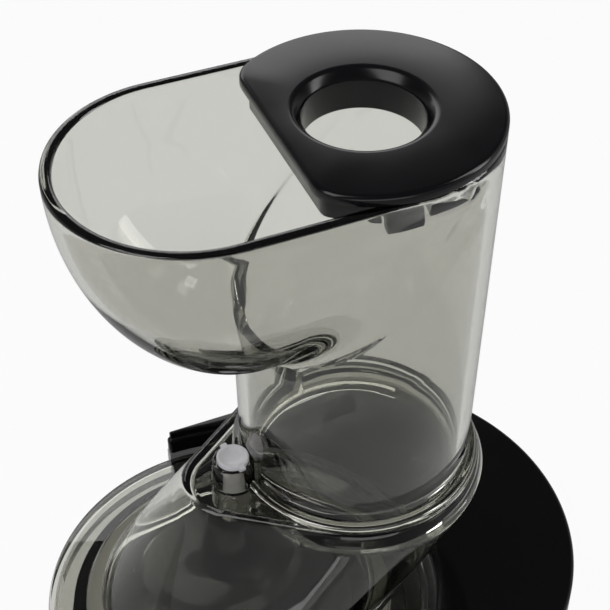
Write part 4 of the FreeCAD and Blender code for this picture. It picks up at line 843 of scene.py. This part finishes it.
@dataclass
class TopBush:
    """White bush in the lid's boss: a shallow dish with two tabs that lock it."""

    place: Layout
    radius: float = 6.15
    bore: float = 4.05
    tab_angles: tuple[float, float] = (100.0, 280.0)
    tab_w: float = 2.4
    tab_reach: float = 7.6

    def build(self) -> bpy.types.Object:
        """Turn the bush and join its tabs."""
        low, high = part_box("auger_top_bush")
        foot, head = low.z / MM, high.z / MM
        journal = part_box("auger")[1].z / MM + 0.5
        made = lathe("bush_moulding", self.place.drum, [
            (0.2, journal), (self.bore, journal), (self.bore, foot), (self.radius, foot), (self.radius, head - 0.5),
            (self.radius - 0.15, head - 0.15), (self.radius - 0.5, head), (self.radius - 1.0, head - 0.1),
            (4.3, head - 0.6), (3.2, head - 1.0), (1.8, head - 1.25), (0.2, head - 1.32)], 72, False)
        tabs = []
        for k, degrees in enumerate(self.tab_angles):
            a = math.radians(degrees)
            out = Vector((math.cos(a), math.sin(a), 0.0))
            side = Vector((-out.y, out.x, 0.0))
            profile = [(4.6, head - 1.5), (self.tab_reach - 0.2, head - 1.5), (self.tab_reach, head - 1.3),
                       (self.tab_reach, head - 0.3), (self.tab_reach - 0.3, head), (4.9, head), (4.6, head - 0.3)]
            rings = [[self.place.drum + out * (r * MM) + side * (s * self.tab_w / 2 * MM) + Vector((0, 0, z * MM))
                      for r, z in profile] for s in (-1.0, 1.0)]
            tabs.append(loop_stack(f"bush_tab_{k}", rings))
        combine(made, tabs, "UNION")
        return dress(made, WHITE_POM, "drum_lid", ["auger_top_bush"])


# ---------------------------------------------------------------- housing
@dataclass
class Column:
    """Plan outline of the motor column, hollowed by the drum's recess, at any inset."""

    place: Layout
    body_r: float = 93.0
    back: float = 85.0
    horn: float = 52.0
    tip: float = 36.0
    recess: float = 81.0
    corner: float = 1.8

    def loop(self, inset: float, z: float, corner: float | None = None) -> Ring:
        """Outline at an inset in millimetres and a height, with as many points whatever the inset."""
        gap = (self.place.tube.x - self.place.drum.x) / MM
        size, back, left, tip = self.body_r - inset, self.back - inset, self.horn - inset, self.tip - inset
        hollow = self.recess + inset
        front = Vector((-tip, -math.sqrt(size * size - tip * tip)))
        rear = Vector((math.sqrt(size * size - back * back), back))
        horn = Vector((-left, math.sqrt(hollow * hollow - (gap - left) ** 2)))
        nose = Vector((-tip, -math.sqrt(hollow * hollow - (gap - tip) ** 2)))

        def arc(centre: float, radius: float, a: Vector, b: Vector, count: int, clockwise: bool) -> list[Vector]:
            first = math.atan2(a.y, a.x - centre)
            last = math.atan2(b.y, b.x - centre)
            if clockwise and last > first:
                last -= TURN
            if not clockwise and last < first:
                last += TURN
            return [Vector((centre + radius * math.cos(first + (last - first) * i / count),
                            radius * math.sin(first + (last - first) * i / count))) for i in range(count + 1)]

        runs = [arc(0.0, size, front, rear, 120, False),
                [rear.lerp(Vector((-left, back)), i / 24) for i in range(25)],
                [Vector((-left, back)).lerp(horn, i / 4) for i in range(5)],
                arc(-gap, hollow, horn, nose, 120, True),
                [nose.lerp(front, i / 4) for i in range(5)]]
        reach = self.corner if corner is None else corner
        plan = []
        trimmed = [self.trim(run, reach) for run in runs]
        for k, run in enumerate(trimmed):
            plan.extend(run)
            turn = runs[k][-1]
            after = trimmed[(k + 1) % len(trimmed)][0]
            for j in range(1, 5):
                t = j / 5
                plan.append(run[-1] * (1 - t) ** 2 + turn * 2 * t * (1 - t) + after * t * t)
        return [Vector((self.place.tube.x + p.x * MM, self.place.tube.y + p.y * MM, z * MM)) for p in plan]

    @staticmethod
    def trim(run: list[Vector], reach: float) -> list[Vector]:
        """The run without a short reach at each end, with as many points."""
        steps = [0.0]
        for a, b in zip(run[:-1], run[1:]):
            steps.append(steps[-1] + (b - a).length)
        total = steps[-1]
        short = min(reach, total * 0.4)
        out = []
        for i in range(len(run)):
            want = short + (total - 2 * short) * i / (len(run) - 1)
            k = max(j for j in range(len(steps)) if steps[j] <= want + 1e-9)
            k = min(k, len(run) - 2)
            share = (want - steps[k]) / max(1e-9, steps[k + 1] - steps[k])
            out.append(run[k].lerp(run[k + 1], share))
        return out


@dataclass
class TopCover:
    """Glossy cap over the motor column with a full rounded edge, and the rail along its back."""

    column: Column
    edge: float = 2.4
    rail_right: float = 34.0
    rail_w: float = 14.5
    rail_h: float = 3.0

    def build(self) -> None:
        """Skin the cap and the rail."""
        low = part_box("base_housing")[1].z / MM + 0.3
        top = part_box("rear_rail")[1].z / MM - self.rail_h
        spots = [(2.2, low), (0.5, low), (0.15, low + 0.12), (0.0, low + 0.5)]
        spots += [(self.edge * (1 - math.cos(a)), top - self.edge * (1 - math.sin(a)))
                  for a in (math.radians(11.25 * k) for k in range(9))]
        made = loop_stack("top_cover_moulding", [self.column.loop(i, z) for i, z in spots])
        dress(made, COVER_ABS, "base", ["top_cover"])
        self.rail(top)

    def rail(self, top: float) -> None:
        """Skin the rear rail on its plan outline."""
        place = self.column.place
        gap = (place.tube.x - place.drum.x) / MM

        def loop(inset: float, z: float) -> Ring:
            back = self.column.back - 1.0 - inset
            front = self.column.back - self.rail_w + inset
            left = -(self.column.horn - 1.0 - inset)
            right = self.rail_right - inset
            hollow = self.column.recess + 1.0 + inset
            first = math.atan2(math.sqrt(hollow ** 2 - (left + gap) ** 2), left + gap)
            last = math.asin(front / hollow)
            arc = [Vector((-gap + hollow * math.cos(first + (last - first) * i / 40),
                           hollow * math.sin(first + (last - first) * i / 40))) for i in range(41)]
            runs = [[Vector((right, front)).lerp(Vector((right, back)), i / 6) for i in range(7)],
                    [Vector((right, back)).lerp(Vector((left, back)), i / 30) for i in range(31)],
                    [Vector((left, back)).lerp(arc[0], i / 3) for i in range(4)], arc,
                    [arc[-1].lerp(Vector((right, front)), i / 16) for i in range(17)]]
            plan = []
            trimmed = [self.column.trim(run, 0.9) for run in runs]
            for k, run in enumerate(trimmed):
                plan.extend(run)
                after = trimmed[(k + 1) % len(trimmed)][0]
                for j in range(1, 4):
                    t = j / 4
                    plan.append(run[-1] * (1 - t) ** 2 + runs[k][-1] * 2 * t * (1 - t) + after * t * t)
            return [Vector((place.tube.x + p.x * MM, place.tube.y + p.y * MM, z * MM)) for p in plan]

        edge = 0.7
        high = top + self.rail_h
        spots = [(0.3, top - 0.5), (0.0, top - 0.2)]
        spots += [(edge * (1 - math.cos(a)), high - edge * (1 - math.sin(a))) for a in (math.radians(18.0 * k) for k in range(6))]
        made = loop_stack("rear_rail_moulding", [loop(i, z) for i, z in spots])
        dress(made, COVER_ABS, "base", ["rear_rail"])


# ---------------------------------------------------------------- carried-over CAD nodes
@dataclass
class CadDress:
    """Finishes for the CAD nodes that show as they are, by the record's slot."""

    finishes: dict[str, Finish | ClearFinish] = field(default_factory=lambda: {
        "smoked_clear": SMOKED, "black_gloss": BLACK_ABS, "black_satin": BLACK_SATIN, "black_fill": BLACK_FILLED,
        "white_pom": WHITE_POM, "grey_pom": GREY_POM, "steel": STEEL, "magnet": IRON, "bronze": BRONZE,
        "silicone": SILICONE, "rubber": RUBBER, "board": BOARD})
    special: dict[str, Finish | ClearFinish] = field(default_factory=lambda: {"base_housing": SILVER})

    def build(self) -> None:
        """Give each CAD node the material of its slot."""
        for name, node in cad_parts.items():
            finish = self.special.get(name)
            if finish is None:
                was = node.data.materials[0].name if node.data.materials else ""
                finish = next((f for slot, f in self.finishes.items() if slot in was), BLACK_SATIN)
            node.data.materials.clear()
            node.data.materials.append(finish.material())


# ---------------------------------------------------------------- studio
@dataclass
class Studio:
    """White studio: floor, pale world, soft boxes and the camera."""

    place: Layout
    focal: float = 88.52
    eye: tuple[float, float, float] = (-170.5, -356.8, 278.0)
    elevation: float = 42.68
    azimuth: float = 22.8
    glow: float = 0.95
    mirrored: float = 0.12

    def build(self) -> None:
        """Set up the stage, the lights and the camera."""
        self.floor()
        self.world()
        self.lamp("key_softbox", (-0.75, -0.25, 1.25), (0.0, 0.0, 0.25), (0.7, 0.9), 7.0)
        self.lamp("right_strip", (0.85, -0.35, 0.75), (0.0, 0.0, 0.3), (0.25, 1.0), 4.0)
        self.lamp("back_softbox", (0.1, 1.1, 0.9), (0.0, 0.0, 0.3), (1.2, 0.5), 4.0)
        self.lamp("front_low", (-0.2, -1.1, 0.35), (0.0, 0.0, 0.2), (0.9, 0.4), 2.0)
        self.camera()

    def floor(self) -> None:
        """A large white floor that keeps soft shadows and glows white to the camera."""
        made = mesh_object("floor", [Vector((-4, -4, 0)), Vector((4, -4, 0)), Vector((4, 4, 0)), Vector((-4, 4, 0))],
                           [[0, 1, 2, 3]])
        paint = bpy.data.materials.new("white_studio_sweep")
        paint.use_nodes = True
        tree = paint.node_tree
        shader = tree.nodes["Principled BSDF"]
        shader.inputs["Roughness"].default_value = 0.9
        place = add_node(tree, "ShaderNodeTexCoord").outputs["Object"]
        cloud = add_node(tree, "ShaderNodeTexNoise", {"Vector": place, "Scale": 3.0})
        colour = add_node(tree, "ShaderNodeMix", {0: cloud.outputs["Fac"], 6: linear("b4b4b4"), 7: linear("bababa")},
                          data_type="RGBA")
        tree.links.new(colour.outputs[2], shader.inputs["Base Color"])
        path = add_node(tree, "ShaderNodeLightPath")
        first = add_node(tree, "ShaderNodeMath", {0: path.outputs["Is Camera Ray"], 1: path.outputs["Is Transmission Ray"]},
                         operation="MAXIMUM")
        # A mirrored floor is seen at a fraction, as with black flags beside the table.
        mirrored = add_node(tree, "ShaderNodeMath", {0: path.outputs["Is Glossy Ray"], 1: self.mirrored}, operation="MULTIPLY")
        seen = add_node(tree, "ShaderNodeMath", {0: first.outputs[0], 1: mirrored.outputs[0]}, operation="MAXIMUM")
        share = add_node(tree, "ShaderNodeMath", {0: seen.outputs[0], 1: self.glow}, operation="MULTIPLY")
        white = add_node(tree, "ShaderNodeEmission", {"Color": (1.0, 1.0, 1.0, 1.0), "Strength": 1.0})
        mix = add_node(tree, "ShaderNodeMixShader", {0: share.outputs[0], 1: shader.outputs["BSDF"], 2: white.outputs["Emission"]})
        tree.links.new(mix.outputs["Shader"], tree.nodes["Material Output"].inputs["Surface"])
        made.data.materials.append(paint)

    def world(self) -> None:
        """Pale light all round, pure white where it is seen, mirrored or looked at through glass."""
        world = bpy.data.worlds.new("studio_world")
        bpy.context.scene.world = world
        world.use_nodes = True
        tree = world.node_tree
        tree.nodes.clear()
        path = add_node(tree, "ShaderNodeLightPath")
        height = add_node(tree, "ShaderNodeSeparateXYZ", {0: add_node(tree, "ShaderNodeTexCoord").outputs["Generated"]})
        # White to a third of the way up, then a dim ceiling, as over a shooting table.
        ceiling = add_node(tree, "ShaderNodeMapRange", {"Value": height.outputs["Z"], "From Min": 0.0, "From Max": 0.4,
                                                        "To Min": 0.5, "To Max": 0.1})
        strength = add_node(tree, "ShaderNodeMath", {0: path.outputs["Is Camera Ray"], 1: ceiling.outputs["Result"]},
                            operation="MAXIMUM")
        sky = add_node(tree, "ShaderNodeBackground", {"Color": (1.0, 1.0, 1.0, 1.0), "Strength": strength.outputs[0]})
        add_node(tree, "ShaderNodeOutputWorld", {"Surface": sky.outputs["Background"]})

    def lamp(self, name: str, place: tuple[float, float, float], aim: tuple[float, float, float],
             size: tuple[float, float], power: float) -> None:
        """A rectangular soft box at a place, aimed at a point, in metres and watts."""
        data = bpy.data.lights.new(name, "AREA")
        data.shape = "RECTANGLE"
        data.size, data.size_y = size
        data.energy = power
        made = bpy.data.objects.new(name, data)
        bpy.context.scene.collection.objects.link(made)
        made.location = place
        made.rotation_euler = (Vector(aim) - Vector(place)).to_track_quat("-Z", "Y").to_euler()

    def camera(self) -> None:
        """The camera, placed from the feed tube's axis and the top of the lid."""
        data = bpy.data.cameras.new("camera")
        data.sensor_width = 36.0
        data.lens = self.focal
        made = bpy.data.objects.new("camera", data)
        bpy.context.scene.collection.objects.link(made)
        eye = Vector((self.place.tube.x, self.place.tube.y, self.place.top_z)) + Vector(self.eye) * MM
        made.location = eye
        up, side = math.radians(self.elevation), math.radians(self.azimuth)
        look = Vector((math.sin(side) * math.cos(up), math.cos(side) * math.cos(up), -math.sin(up)))
        made.rotation_euler = look.to_track_quat("-Z", "Y").to_euler()
        bpy.context.scene.camera = made


def main() -> None:
    """Build every sub-assembly, then the studio."""
    logging.basicConfig(level=logging.INFO)
    place = Layout()
    CadDress().build()
    Hopper(place).build()
    HopperLid(place).build()
    DrumLid(place).build()
    DateDials(place).build()
    TopBush(place).build()
    TopCover(Column(place)).build()
    Studio(place).build()
    bpy.context.scene.view_settings.view_transform = "Standard"


if __name__ == "__main__":
    main()
